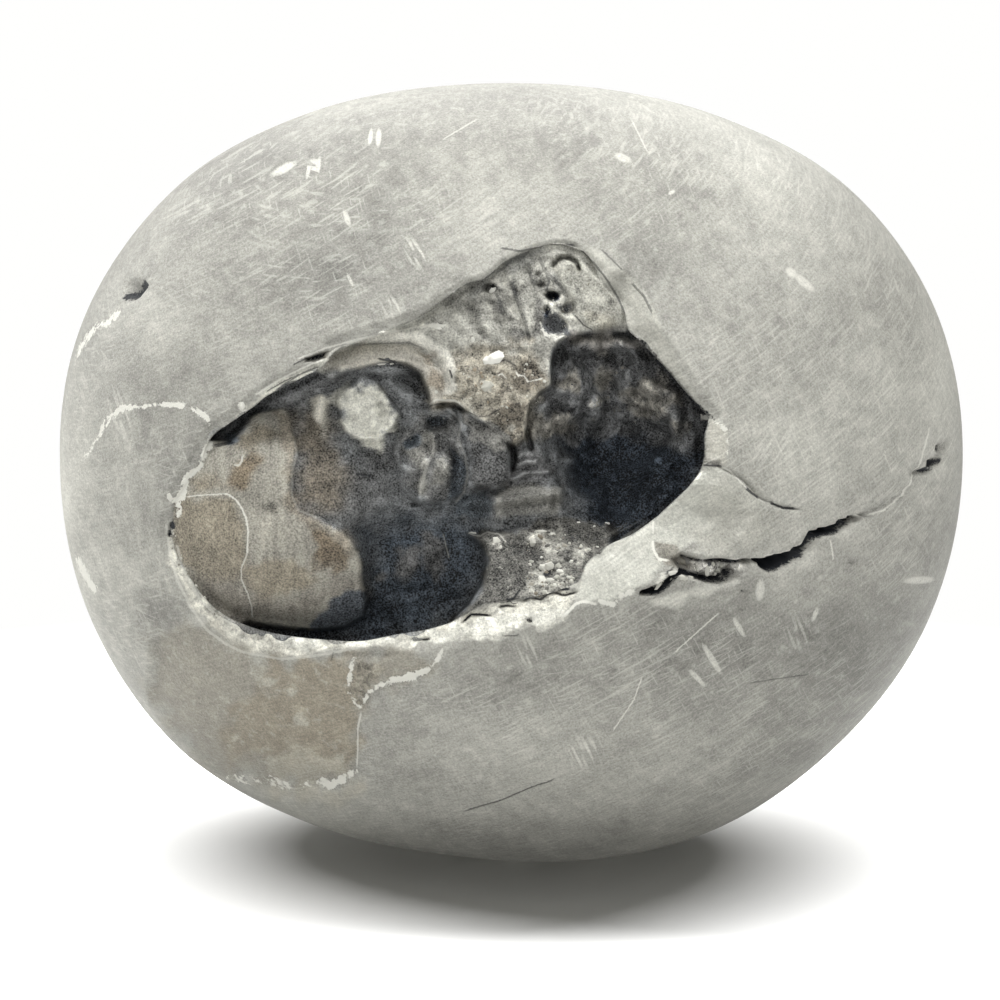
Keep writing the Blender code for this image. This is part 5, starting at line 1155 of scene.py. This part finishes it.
def soft_tone(x, z):
    """Sum of soft round patches that are a little paler or darker than the rest."""
    tone = np.zeros(x.shape)
    for middle, radii, strength in SOFT_TONES:
        mx, mz = from_sheet([middle])[0]
        tone += strength * np.exp(-(((x - mx) / radii[0]) ** 2) - ((z - mz) / radii[1]) ** 2)
    return tone


def space_noise(points, cell, seed, octaves):
    """Octaves of lattice noise in space, each half the size and 0.6 of the strength of the one before."""
    return sum(0.6**n * lattice_noise(points + 31.3 * n, cell / 2**n, seed + n) for n in range(octaves))


def rings_close(points):
    """1 where the rings lie close enough together to carry small spots, easing to 0 on the back."""
    return eased(0.25 - points[:, 1] / 20.0)


def hollow_measure(depth, x, z):
    """How much deeper each place of the grid lies than the average of four places about it."""
    steps = np.hypot(np.roll(x, -1, axis=1) - x, np.roll(z, -1, axis=1) - z).mean(axis=1)
    jump = np.clip(np.round(HOLLOW_REACH / np.maximum(steps, 1e-3)), 1, COLUMNS // 8).astype(int)[:, None]
    column = np.arange(COLUMNS)
    sides = [np.take_along_axis(depth, (column + sign * jump) % COLUMNS, axis=1) for sign in (-1, 1)]
    padded = np.pad(depth, ((3, 3), (0, 0)), mode="edge")
    return depth - 0.25 * (sides[0] + sides[1] + padded[:-6] + padded[6:])


def tone_steps(x, z):
    """How many doublings of brightness the small spots and edges, stains as well as painted shadows and
    highlights, are lighter than what is round them.
    """
    steps = np.zeros(x.shape)
    for middle, radii, degrees, doublings in TONE_SPOTS:
        wide = [radius + SPOT_SOFTNESS for radius in radii]
        steps += doublings * eased(1.6 * bump(x, z, middle, wide, degrees))
    for path, half_width, doublings in TONE_LINES:
        steps += doublings * eased(1.5 - path_distance(x, z, path)[0] / max(half_width, THINNEST_TONE))
    return steps


def ground_colour(points, x, z, front, hollow):
    """Colour and grit of every vertex: clouded skin, then each finish in turn, with painted highlight on
    ridges and painted shade in hollows.
    """
    close = rings_close(points)
    clouds = layered(space_noise(points, CLOUDS[0], 41, 1), close, space_noise(points, CLOUDS[0], 41, 4))
    mottle = close * space_noise(points, MOTTLE[0], 53, 3)
    fleck = close * space_noise(points, FLECKS[0], 59, 2)
    pale = 0.5 + CLOUDS[1] * clouds + MOTTLE[1] * mottle + FLECKS[1] * fleck
    pale += np.where(front, soft_tone(x, z), 0.0)
    dark, light = screen_colour(SKIN_DARK), screen_colour(SKIN_PALE)
    colour = dark + np.clip(pale, *PALE_RANGE)[:, None] * (light - dark)
    grit = np.full(len(x), SKIN_GRIT)
    wander = sheet_noise(x, z, 1.5, 61, 3)
    streaks = 0.0
    allowed = np.where(front, 1.0, 0.0)
    for name, (outlines, shade, edge, wandering, cover, gritty) in FINISHES.items():
        inside = np.maximum.reduce([inside_distance(x, z, outline) for outline in outlines])
        share = allowed * cover * eased(0.5 + (inside + wandering * wander) / edge)
        if name == "mouth":
            allowed = share  # whatever is laid over the mouth stays inside its edge
        if name == "whorl":
            streaks = WHORL_STREAKS * share * sheet_noise(3.0 * x, 0.5 * z, 1.0, 67, 3)
        colour += share[:, None] * (screen_colour(shade) - colour)
        grit += share * (gritty - grit)
    # Painted shade and highlight: places lying below their neighbours are darkened, those above them paled.
    hollow = np.clip(hollow, np.where(inside_distance(x, z, MOUTH_EDGE) > 0.0, *RIDGE_HIGHLIGHTS), HOLLOW_SHADE)
    steps = np.where(front, tone_steps(x + 0.2 * wander, z - 0.2 * wander) - hollow, 0.0) + streaks
    steps += np.clip(SPECKLED[0] + SPECKLED[1] * (grit - SKIN_GRIT), 0.0, 0.5) * (mottle + 0.9 * fleck)
    return colour * 2.0 ** steps[:, None], grit


def nearest_line(x, z, front, lines):
    """Signed distance from the nearest line, that line's half width, and its strength."""
    gap = np.full(x.shape, np.inf)
    field = np.zeros((*x.shape, 3))
    for line, half_width, strength in lines:
        near, along, side = path_distance(x, z, line)
        there = strength * eased(2.0 - near / 0.5) * ((along > 0.0) & (along < 1.0)) * front
        place = np.stack([np.clip(near * side, -2.0, 2.0), np.full(x.shape, half_width), there], axis=-1)
        field = np.where((near < gap)[..., None], place, field)
        gap = np.minimum(near, gap)
    return field


def band_field(x, z, front, paths):
    """How far each place lies inside the nearest band of stated half width round a path."""
    field = np.full(x.shape, -3.0)
    for path, half_width in paths:
        gap, along, _ = path_distance(x, z, path)
        field = np.maximum(field, width_along(along, half_width) - gap)
    return np.where(front, field, -3.0)


def stroke_field(x, z, front, strokes):
    """Place in the nearest stroke's ellipse, along and across, each 1 at its edge, and whether it is near."""
    best = np.full(x.shape, np.inf)
    field = np.zeros((*x.shape, 3))
    for middle, degrees, half_length, half_width in strokes:
        along, across = turned(x, z, middle, degrees)
        away = np.hypot(along, across)
        near = eased(2.0 - away / (half_length + 0.6)) * front
        place = np.stack([along / half_length, across / half_width, near], axis=-1)
        field = np.where((away < best)[..., None], place, field)
        best = np.minimum(away, best)
    return np.clip(field, -9.0, 9.0)


def hatch_field(x, z, front):
    """Place across and along the nearest patch of strokes, in mm, and how strongly the patch shows."""
    best = np.zeros(x.shape)
    field = np.zeros((*x.shape, 3))
    for middle, degrees, half_length, half_width, strength in HATCHES:
        along, across = turned(x, z, middle, degrees)
        away = np.hypot(along / half_length, across / half_width)
        patch = strength * np.clip(1.6 - 1.6 * away, 0.0, 1.0) * front
        field = np.where((patch > best)[..., None], np.stack([across, along, patch], axis=-1), field)
        best = np.maximum(patch, best)
    return field


# --- meshes ---
def grid_faces(rings, columns):
    """Quads between neighbouring rings, a fan of triangles at each pole; poles are stored first and last."""
    ring = np.arange(rings - 1)[:, None] * columns + 1
    here, there = np.arange(columns), (np.arange(columns) + 1) % columns
    quads = np.stack([ring + here, ring + there, ring + columns + there, ring + columns + here], axis=-1)
    last = 1 + (rings - 1) * columns
    front = np.stack([np.zeros(columns, int), there + 1, here + 1], axis=-1)
    back = np.stack([last + here, last + there, np.full(columns, last + columns)], axis=-1)
    return quads.reshape(-1, 4), np.vstack([front, back])


def mesh_from(name, points, quads, triangles, fields, smooth=True):
    """A mesh of these points and faces, smooth or flat, with three numbers per vertex for every field."""
    mesh = bpy.data.meshes.new(name)
    mesh.vertices.add(len(points))
    mesh.vertices.foreach_set("co", (points * MM).astype(np.float32).ravel())
    sizes = np.concatenate([np.full(len(quads), 4), np.full(len(triangles), 3)])
    mesh.loops.add(int(sizes.sum()))
    corners = np.concatenate([quads.ravel(), triangles.ravel()])
    mesh.loops.foreach_set("vertex_index", corners.astype(np.int32))
    mesh.polygons.add(len(sizes))
    mesh.polygons.foreach_set("loop_start", (np.cumsum(sizes) - sizes).astype(np.int32))
    mesh.update(calc_edges=True)
    if smooth:
        mesh.shade_smooth()
    else:
        mesh.shade_flat()
    for field, values in fields.items():
        layer = mesh.attributes.new(field, "FLOAT_VECTOR", "POINT")
        layer.data.foreach_set("vector", values.astype(np.float32).ravel())
    return mesh


def linked(name, data):
    """A new object of this name in the scene, at the origin."""
    made = bpy.data.objects.new(name, data)
    bpy.context.scene.collection.objects.link(made)
    return made


def poles_once(grid):
    """The grid as a list of vertices, with each pole's ring stored as one vertex."""
    return np.concatenate([grid[:1, 0], grid[1:-1].reshape(-1, *grid.shape[2:]), grid[-1:, 0]])


def stone_fields(x, z, front, points, hollow):
    """What the finish reads at every vertex."""
    ground, grit = ground_colour(points, x, z, front, hollow)
    inside = eased(0.5 + inside_distance(x, z, MOUTH_EDGE) / 0.5) * front
    size, differ = SCUFFED_PATCHES
    scuffed = eased(0.5 + differ * rings_close(points) * space_noise(points, size, 83, 2)) * (1.0 - inside)
    for name in UNSCUFFED:
        scuffed *= 1.0 - 0.85 * within(x, z, FINISHES[name][0][0], 1.0) * front
    dust = DUST[0] * np.clip(ground[:, 1], 0.03, 1.0) ** DUST[1] * (0.5 + 0.5 * inside)
    bands = (band_field(x, z, front, WHITE_VEINS), band_field(x, z, front, BLACK_CRACKS), inside)
    return {
        "ground": ground,
        "wear": np.stack([grit, scuffed, dust], axis=-1),
        "bands": np.stack(bands, axis=-1),
        "pale_line": nearest_line(x, z, front, WHITE_LINES),
        "dark_line": nearest_line(x, z, front, DARK_LINES),
        "dark_line_too": nearest_line(x, z, front, MORE_DARK_LINES),
        "stroke": stroke_field(x, z, front, STROKES[::2]),
        "stroke_too": stroke_field(x, z, front, STROKES[1::2]),
        "hatch": hatch_field(x, z, front),
    }


def stone_surface():
    """The whole stone's grid, inner rings then outer: sheet places, what faces front, points, how hollow."""
    edge = closed_curve(from_sheet(MOUTH_EDGE), COLUMNS, crack_side)
    x, z, px, py, pz, depth = (np.vstack(pair) for pair in zip(inner_surface(edge), outer_surface(edge)))
    points = settled(np.stack([px, py, pz], axis=-1))
    hollow = hollow_measure(depth, x, z)
    return [poles_once(grid) for grid in (x, z, py < 0.0, points, hollow)]


def stone_piece(surface):
    """The whole stone: inner and outer rings joined at the mouth's edge, a fan at each pole."""
    faces = grid_faces(INNER_RINGS + OUTER_RINGS - 1, COLUMNS)
    return linked("weathered_stone", mesh_from("weathered_stone", surface[3], *faces, stone_fields(*surface)))


def scattered():
    """Places, radii, turns and colours of every crystal and grain: placed ones, then scattered ones."""
    rng = np.random.default_rng(GRAIN_SEED)
    places, radii, turns, shades = (list(column) for column in zip(*CRYSTALS))
    for outline, count, (small, large), colours in GRAIN_FIELDS:
        corners = np.array(outline)
        tries = corners.min(axis=0) + rng.random((8 * count, 2)) * np.ptp(corners, axis=0)
        flat = from_sheet(tries)
        tries = tries[inside_distance(flat[:, 0], flat[:, 1], outline) > 0.1][:count]
        size = small + (large - small) * rng.random(len(tries)) ** MOSTLY_SMALL
        places += tries.tolist()
        radii += np.stack([size, size * (0.5 + 0.5 * rng.random(len(tries)))], axis=1).tolist()
        turns += (360.0 * rng.random(len(tries))).tolist()
        shades += [colours[n] for n in rng.integers(0, len(colours), len(tries))]
    return np.array(places), np.array(radii), np.radians(turns), screen_colour(np.array(shades)), rng


def calcite_grains(surface):
    """Crystals and grains as one mesh: each a small faceted sphere whose corners stand in or out."""
    x, z, front, points, _ = surface
    places, radii, turns, shades, rng = scattered()
    behind = np.where(front, 0.0, 1e3)
    nearest = [int(np.argmin(np.hypot(x - px, z - pz) + behind)) for px, pz in from_sheet(places)]
    turn = np.arange(GRAIN_SIDES) * 2.0 * math.pi / GRAIN_SIDES
    rise = np.radians(GRAIN_RISES)[:, None]
    ball = [np.cos(rise) * np.cos(turn), np.sin(rise) + 0.0 * turn, np.cos(rise) * np.sin(turn)]
    ball = np.stack(ball, axis=-1)
    knobbly = 1.0 + GRAIN_KNOBBLES * (2.0 * rng.random((len(places), *ball.shape[:2])) - 1.0)
    knobbly[:, [0, -1]] = 1.0
    sizes = np.stack([radii[:, 0], GRAIN_FLATNESS * radii.min(axis=1), radii[:, 1]], axis=1)
    grain = ball * knobbly[..., None] * sizes[:, None, None]
    cos, sin = np.cos(turns)[:, None, None], np.sin(turns)[:, None, None]
    grain = np.stack([grain[..., 0] * cos - grain[..., 2] * sin, grain[..., 1],
                      grain[..., 0] * sin + grain[..., 2] * cos], axis=-1)
    grain += points[nearest][:, None, None]
    rings = grain[:, 1:-1].reshape(len(places), -1, 3)
    grain = np.concatenate([grain[:, 0, :1], rings, grain[:, -1, :1]], axis=1)
    quads, triangles = grid_faces(len(rise) - 2, GRAIN_SIDES)
    start = (np.arange(len(places)) * grain.shape[1])[:, None, None]
    ground = np.repeat(shades, grain.shape[1], axis=0)
    mesh = mesh_from("calcite_grains", grain.reshape(-1, 3), (quads + start).reshape(-1, 4),
                     (triangles + start).reshape(-1, 3), {"ground": ground}, False)
    return linked("calcite_grains", mesh)


# --- finishes ---
def paint(red, green, blue):
    """A screen colour as the linear colour a shader wants."""
    return (*(float(part) for part in screen_colour((red, green, blue))), 1.0)


class Recipe:
    """A material's node tree, with one short call for each kind of node it uses."""

    def __init__(self, name):
        self.material = bpy.data.materials.new(name)
        self.material.use_nodes = True
        self.tree = self.material.node_tree
        self.shader = self.tree.nodes["Principled BSDF"]

    def put(self, socket, value):
        """Join the socket to another one, or set it to a constant."""
        if isinstance(value, bpy.types.NodeSocket):
            self.tree.links.new(value, socket)
        else:
            socket.default_value = value

    def node(self, kind, *values, **settings):
        """A node with these values on its first sockets."""
        made = self.tree.nodes.new(kind)
        for setting, value in settings.items():
            setattr(made, setting, value)
        for socket, value in zip(made.inputs, values):
            if value is not None:
                self.put(socket, value)
        return made

    def math(self, operation, *values):
        """The result of a sum with numbers."""
        return self.node("ShaderNodeMath", *values, operation=operation).outputs[0]

    def vector(self, operation, *values):
        """A node for a sum with vectors."""
        return self.node("ShaderNodeVectorMath", *values, operation=operation)

    def mix(self, share, low, high):
        """The low colour, giving way to the high one as the share goes from 0 to 1."""
        made = self.node("ShaderNodeMix", data_type="RGBA", clamp_factor=True)
        for socket, value in zip((made.inputs[0], made.inputs[6], made.inputs[7]), (share, low, high)):
            self.put(socket, value)
        return made.outputs[2]

    def noise(self, place, per_mm, detail=0.0, roughness=0.5):
        """Noise about 0.5: cells per mm, finer layers, and how strong each next layer is."""
        made = self.node("ShaderNodeTexNoise")
        self.put(made.inputs["Vector"], place)
        self.put(made.inputs["Scale"], per_mm)
        self.put(made.inputs["Detail"], detail)
        self.put(made.inputs["Roughness"], roughness)
        return made.outputs[0]

    def field(self, name):
        """The three numbers stored at the vertices under this name."""
        stored = self.node("ShaderNodeAttribute", attribute_name=name).outputs["Vector"]
        return self.node("ShaderNodeSeparateXYZ", stored).outputs

    def ramp(self, value, start, end):
        """0 at start, 1 at end, straight between."""
        return self.node("ShaderNodeMapRange", value, start, end, 0.0, 1.0).outputs[0]

    def times(self, *values):
        """The product of two values."""
        return self.math("MULTIPLY", *values)

    def dimmed(self, colour, factor):
        """A colour times a number."""
        made = self.node("ShaderNodeVectorMath", colour, operation="SCALE")
        self.put(made.inputs["Scale"], factor)
        return made.outputs[0]

    def scaled(self, value, factor, offset=0.0):
        """A value times a factor, plus an offset."""
        return self.math("MULTIPLY_ADD", value, factor, offset)


SCRATCH_PALE = (226, 225, 215)
VEIN_WHITE = (228, 227, 217)
# Black painted as shade in open cracks and pits; thin dark cracks use it too.
CRACK_BLACK = (26, 29, 33)
# Families of fine scratches: direction in space, how high the noise is cut, and an offset.
SCRATCHES = (
    ((0.88, 0, 0.48), 0.68, 1.7), ((0.86, 0.1, 0.55), 0.7, 5.3), ((0.4, 0.1, -0.9), 0.73, 9.1),
    ((0.1, 0.9, 0.35), 0.68, 13.9),
)
SCRATCH_LENGTH = 0.30  # along a scratch, lattice cells per mm
SCRATCH_FINENESS = 5.0  # across it
SCRATCH_DEPTH = 0.6  # into the stone
STREAKED = 0.17  # how strongly the scratches' whole range shows
RUBBED = 0.25  # how pale their crests are rubbed
WORN = 0.30  # how pale the worn spots are
CREST = 0.08
# Noises of the finish: cells per mm, finer layers, and how strong each next layer is.
GRAIN_NOISE = (3.8, 2.0, 0.8)
BACK_NOISE = (0.14, 5.0, 0.62)
WORN_NOISE = (0.9, 5.0, 0.68)
TORN_NOISE = (1.5, 2.0, 0.6)
SPECKS = 6.0  # specks per mm
CHIPS = 1.9  # chips of broken rock per mm
SPECKLE = (0.7, 0.5)  # how much the grains show: by grit, and everywhere
CHIPPED = (0.8, 2.2)  # grit at which the chips start to show, and at which they are full
DARKEST = 0.06
BACK_CLOUDS = 0.9  # how strongly the clouds of the back show
BACK_FROM = (-15.0, 5.0)
WORN_FROM = (0.55, 0.72)
STRIPES = (3.0, 0.3)  # cells per mm across a rubbed patch and along it
STRIPED_FROM = (0.50, 0.64)
RAGGED = 2.4  # how ragged the ends of rubbed strokes are
MARK_GRAIN = (1.4, -0.1)
TORN = (0.9, 0.3)  # how far the seams' edges are torn, coarsely and finely
LINE_EDGE = (0.05, -0.03)  # mm past a line's half width where it ends and where it is full
STROKE_EDGE = (1.1, 0.5)
VEIN_EDGE = (-0.05, 0.07)
VEIN_SHARE = 0.92
CRACK_EDGE = (-0.06, 0.06)
ROUGHNESS = (0.25, 0.48)
CALCITE_ROUGHNESS = 0.42
SHINE = 0.35
RELIEF = 0.7
# Heights and depths in mm; a grain's height is by grit, and everywhere.
GRAIN_HEIGHT = (0.13, 0.05)
VEIN_HEIGHT = 0.05
CHIP_HEIGHT = 0.2
LINE_DEPTH = 0.25


def scratches(r, place, direction, cut, offset):
    """Noise drawn out along one direction: its whole range, and its thin crests alone."""
    along = Vector(direction).normalized()
    aside = Vector((0.0, 1.0, 0.1)) if abs(along.y) < 0.5 else Vector((1.0, 0.0, 0.2))
    across = along.cross(aside).normalized()
    third = along.cross(across)
    parts = [r.vector("DOT_PRODUCT", place, tuple(scale * axis)).outputs["Value"]
             for axis, scale in ((along, SCRATCH_LENGTH), (across, SCRATCH_FINENESS), (third, SCRATCH_DEPTH))]
    where = r.node("ShaderNodeCombineXYZ", *parts).outputs[0]
    where = r.vector("ADD", where, (offset, offset, offset)).outputs[0]
    streak = r.noise(where, 1.0)
    return streak, r.ramp(streak, cut, cut + CREST)


def line_share(r, name, jitter):
    """Share of a stored thin line: 1 within its half width of the line, easing off by LINE_EDGE."""
    signed, width, there = r.field(name)
    gap = r.math("SUBTRACT", r.math("ABSOLUTE", r.math("ADD", signed, jitter)), width)
    return r.times(r.ramp(gap, *LINE_EDGE), there)


def stroke_share(r, name, ragged):
    """Share of a stored rubbed stroke: solid inside its ellipse, with a ragged edge."""
    along, across, near = r.field(name)
    square = r.math("MULTIPLY_ADD", along, along, r.times(across, across))
    return r.times(r.ramp(r.math("ADD", square, ragged), *STROKE_EDGE), near)


def calcite_finish():
    """Pale calcite and broken rock, each grain with its own colour, a little shiny."""
    r = Recipe("pale_calcite")
    ground = r.node("ShaderNodeAttribute", attribute_name="ground").outputs["Color"]
    r.put(r.shader.inputs["Base Color"], ground)
    r.shader.inputs["Roughness"].default_value = CALCITE_ROUGHNESS
    return r.material


def stone_finish():
    """Grey limestone: the stored ground colour, speckled, scratched and rubbed, with its seams and cracks."""
    r = Recipe("river_worn_limestone")
    place = r.vector("MULTIPLY", r.node("ShaderNodeTexCoord").outputs["Object"], (1.0 / MM,) * 3).outputs[0]
    grains = r.noise(place, *GRAIN_NOISE)
    off = r.math("SUBTRACT", grains, 0.5)
    fine = r.times(off, 0.5)
    grit, scuffed, dust = r.field("wear")
    vein_field, crack_field, inside = r.field("bands")
    outside = r.math("SUBTRACT", 1.0, inside)

    ground = r.node("ShaderNodeAttribute", attribute_name="ground").outputs["Vector"]
    speckle = r.math("MULTIPLY_ADD", off, r.scaled(grit, *SPECKLE), 1.0)
    specks = r.math("SUBTRACT", r.noise(place, SPECKS), 0.5)
    speckle = r.math("ADD", speckle, r.times(specks, dust))
    facets = r.node("ShaderNodeTexVoronoi", place)
    facets.inputs["Scale"].default_value = CHIPS
    chips = r.math("SUBTRACT", r.node("ShaderNodeSeparateColor", facets.outputs["Color"]).outputs[0], 0.5)
    chips = r.times(chips, r.ramp(grit, *CHIPPED))
    speckle = r.math("MAXIMUM", r.math("ADD", speckle, chips), DARKEST)
    colour = r.dimmed(ground, speckle)

    rubbed, streaks = 0.0, -0.5 * len(SCRATCHES)
    for family in SCRATCHES:
        streak, crest = scratches(r, place, *family)
        rubbed = r.math("MAXIMUM", rubbed, crest)
        streaks = r.math("ADD", streaks, streak)
    streaks = r.times(streaks, outside)
    back = r.ramp(r.node("ShaderNodeSeparateXYZ", place).outputs[1], *BACK_FROM)
    clouded = r.scaled(r.noise(place, *BACK_NOISE), BACK_CLOUDS, -0.5 * BACK_CLOUDS)
    colour = r.dimmed(colour, r.math("MULTIPLY_ADD", back, clouded, r.scaled(streaks, STREAKED, 1.0)))
    rubbed = r.times(r.times(rubbed, scuffed), RUBBED)
    worn = r.ramp(r.noise(place, *WORN_NOISE), *WORN_FROM)
    worn = r.times(r.times(worn, outside), WORN)
    colour = r.mix(r.math("MAXIMUM", rubbed, worn), colour, paint(*SCRATCH_PALE))

    across, along, patch = r.field("hatch")
    drawn = (r.scaled(across, STRIPES[0]), r.scaled(along, STRIPES[1]), 0.0)
    stripes = r.noise(r.node("ShaderNodeCombineXYZ", *drawn).outputs[0], 1.0)
    stripes = r.ramp(stripes, *STRIPED_FROM)
    ragged = r.scaled(off, RAGGED)
    marks = r.math("MAXIMUM", stroke_share(r, "stroke", ragged), stroke_share(r, "stroke_too", ragged))
    marks = r.math("MAXIMUM", marks, r.times(stripes, patch))
    marks = r.times(marks, r.scaled(grains, *MARK_GRAIN))
    colour = r.mix(marks, colour, paint(*SCRATCH_PALE))

    torn = r.math("SUBTRACT", r.noise(place, *TORN_NOISE), 0.5)
    torn = r.math("ADD", r.scaled(torn, TORN[0]), r.scaled(off, TORN[1]))
    vein = r.ramp(r.math("ADD", vein_field, torn), *VEIN_EDGE)
    colour = r.mix(r.times(vein, VEIN_SHARE), colour, paint(*VEIN_WHITE))
    pale = line_share(r, "pale_line", r.times(fine, 0.5))
    colour = r.mix(pale, colour, paint(*VEIN_WHITE))
    jitter = r.times(fine, 0.4)
    dark = r.math("MAXIMUM", line_share(r, "dark_line", jitter), line_share(r, "dark_line_too", jitter))
    # Open cracks and pits are painted black as the shade inside them.
    crack = r.ramp(r.math("ADD", crack_field, fine), *CRACK_EDGE)
    dark = r.math("MAXIMUM", dark, crack)
    colour = r.mix(dark, colour, paint(*CRACK_BLACK))

    r.put(r.shader.inputs["Base Color"], colour)
    r.put(r.shader.inputs["Roughness"], r.scaled(grains, *ROUGHNESS))
    r.shader.inputs["Specular IOR Level"].default_value = SHINE
    height = r.times(grains, r.scaled(grit, *GRAIN_HEIGHT))
    height = r.math("ADD", height, r.math("ADD", r.scaled(vein, VEIN_HEIGHT), r.scaled(chips, CHIP_HEIGHT)))
    height = r.math("SUBTRACT", height, r.scaled(dark, LINE_DEPTH))
    relief = r.node("ShaderNodeBump")
    relief.inputs["Strength"].default_value = RELIEF
    relief.inputs["Distance"].default_value = MM
    r.put(relief.inputs["Height"], height)
    r.put(r.shader.inputs["Normal"], relief.outputs[0])
    return r.material


# --- the studio ---
LENS = 200.0
SENSOR = 36.0
BOARD_SHADE = (0.88, 0.88, 0.87, 1.0)
BOARD_LIGHT = (1.0, 1.0, 0.99, 1.0)
BOARD_BOUNCE = 0.56  # how much of its light the board throws back on to the stone
THROWN_GLOW = 0.42  # how much of that is glow
BOARD_BRIGHT = (75.0, 130.0)  # mm from the origin where the board starts to glow and where it is full
STONE_AIM = (0.0, 0.0, 0.04)
# Lamps over the stone: name, place and size in metres, and watts.
LAMPS = (
    ("overhead", (0, -0.11, 0.9), (2.4, 0.14), 18), ("front", (-0.15, -1.2, 0.75), (1.6, 0.9), 9.5),
    ("left_edge", (-0.9, 0.6, 0.35), (0.8, 0.8), 6), ("top_edge", (0, 0.9, 0.7), (1.2, 0.5), 9),
)
FLOOR_LAMP = ("over_floor", (-0.015, 0.1, 0.9), (2.1, 0.08), 46)
ROOM_LIGHT = 0.11
BOARD_HALF = 4000.0
# The pale seam on the board behind the stone.
SEAM = ((-600, 60.9), (600, 20.9), (600, 22.6), (-600, 62.6))
SEAM_HEIGHT = 0.05
SEAM_SHADE = (224, 225, 220)
SEAM_BRIGHT = (400.0, 900.0)


def board_finish(name, shade, bounce, bright_from, bright_to):
    """White board that glows away from the stone and throws only a share of its light back on to it."""
    r = Recipe(name)
    place = r.node("ShaderNodeTexCoord").outputs["Object"]
    flat = r.vector("MULTIPLY", place, (1.0 / MM, 1.0 / MM, 0.0)).outputs[0]
    far = r.vector("LENGTH", flat).outputs["Value"]
    thrown = r.node("ShaderNodeLightPath").outputs["Is Diffuse Ray"]
    dull = tuple(bounce * part for part in shade[:3]) + (1.0,)
    r.put(r.shader.inputs["Base Color"], r.mix(thrown, shade, dull))
    r.shader.inputs["Roughness"].default_value = 0.9
    r.shader.inputs["Specular IOR Level"].default_value = 0.0
    glow = r.node("ShaderNodeEmission")
    r.put(glow.inputs["Color"], r.mix(thrown, BOARD_LIGHT, (bounce, bounce, bounce, 1.0)))
    blend = r.node("ShaderNodeMixShader")
    bright = r.ramp(far, bright_from, bright_to)
    r.put(blend.inputs[0], r.math("MAXIMUM", bright, r.scaled(thrown, THROWN_GLOW)))
    r.put(blend.inputs[1], r.shader.outputs[0])
    r.put(blend.inputs[2], glow.outputs[0])
    r.put(r.tree.nodes["Material Output"].inputs["Surface"], blend.outputs[0])
    return r.material


def flat_board(name, corners, height, material):
    """A flat stage board between four corners, in millimetres."""
    mesh = bpy.data.meshes.new(name)
    mesh.from_pydata([(MM * x, MM * y, MM * height) for x, y in corners], [], [(0, 1, 2, 3)])
    mesh.materials.append(material)
    board = linked(name, mesh)
    return board


def soft_light(pieces, name, place, size, power):
    """A rectangular lamp that points at the stone and lights these pieces alone."""
    lamp = bpy.data.lights.new(name, "AREA")
    lamp.shape = "RECTANGLE"
    lamp.size, lamp.size_y = size
    lamp.energy = power
    holder = linked(name, lamp)
    holder.location = place
    holder.rotation_euler = (Vector(STONE_AIM) - Vector(place)).to_track_quat("-Z", "Y").to_euler()
    lit = bpy.data.collections.new(name + "_lights")
    for piece in pieces:
        lit.objects.link(piece)
    holder.light_linking.receiver_collection = lit


def studio(*pieces):
    """White board with a pale seam behind the stone, its lamps, and a dim white room."""
    half = BOARD_HALF
    board = board_finish("white_board", BOARD_SHADE, BOARD_BOUNCE, *BOARD_BRIGHT)
    floor = flat_board("floor", ((-half, -half), (half, -half), (half, half), (-half, half)), 0.0, board)
    seam = board_finish("board_edge", paint(*SEAM_SHADE), 1.0, *SEAM_BRIGHT)
    edge = flat_board("board_edge", SEAM, SEAM_HEIGHT, seam)
    for lamp in LAMPS:
        soft_light(pieces, *lamp)
    soft_light((floor, edge), *FLOOR_LAMP)
    world = bpy.data.worlds.new("pale_room")
    world.use_nodes = True
    background = world.node_tree.nodes["Background"]
    background.inputs["Color"].default_value = BOARD_LIGHT
    background.inputs["Strength"].default_value = ROOM_LIGHT
    scene = bpy.context.scene
    scene.world = world
    scene.view_settings.view_transform = "Standard"
    scene.cycles.diffuse_bounces = 2
    scene.cycles.glossy_bounces = 1


def camera():
    """A long lens on the stone's front, raised by MOUTH_TILT at EYE_DISTANCE."""
    lens = bpy.data.cameras.new("view")
    lens.lens = LENS
    lens.sensor_width = SENSOR
    out = Vector((0.0, -math.cos(MOUTH_TILT), math.sin(MOUTH_TILT)))
    right = Vector((1.0, 0.0, 0.0))
    up = out.cross(right)
    aim = Vector(STONE_MIDDLE) + right * EYE_AXIS[0] + up * EYE_AXIS[1]
    holder = linked("view", lens)
    holder.location = (aim + out * EYE_DISTANCE) * MM
    holder.rotation_euler = Matrix((right, up, out)).transposed().to_euler()
    bpy.context.scene.camera = holder


def main():
    """The stone in its finish with its grains, the studio and the camera."""
    surface = stone_surface()
    stone = stone_piece(surface)
    stone.data.materials.append(stone_finish())
    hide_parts("stone")
    grains = calcite_grains(surface)
    grains.data.materials.append(calcite_finish())
    for piece in (stone, grains):
        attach(piece, "root")
    studio(stone, grains)
    camera()


main()
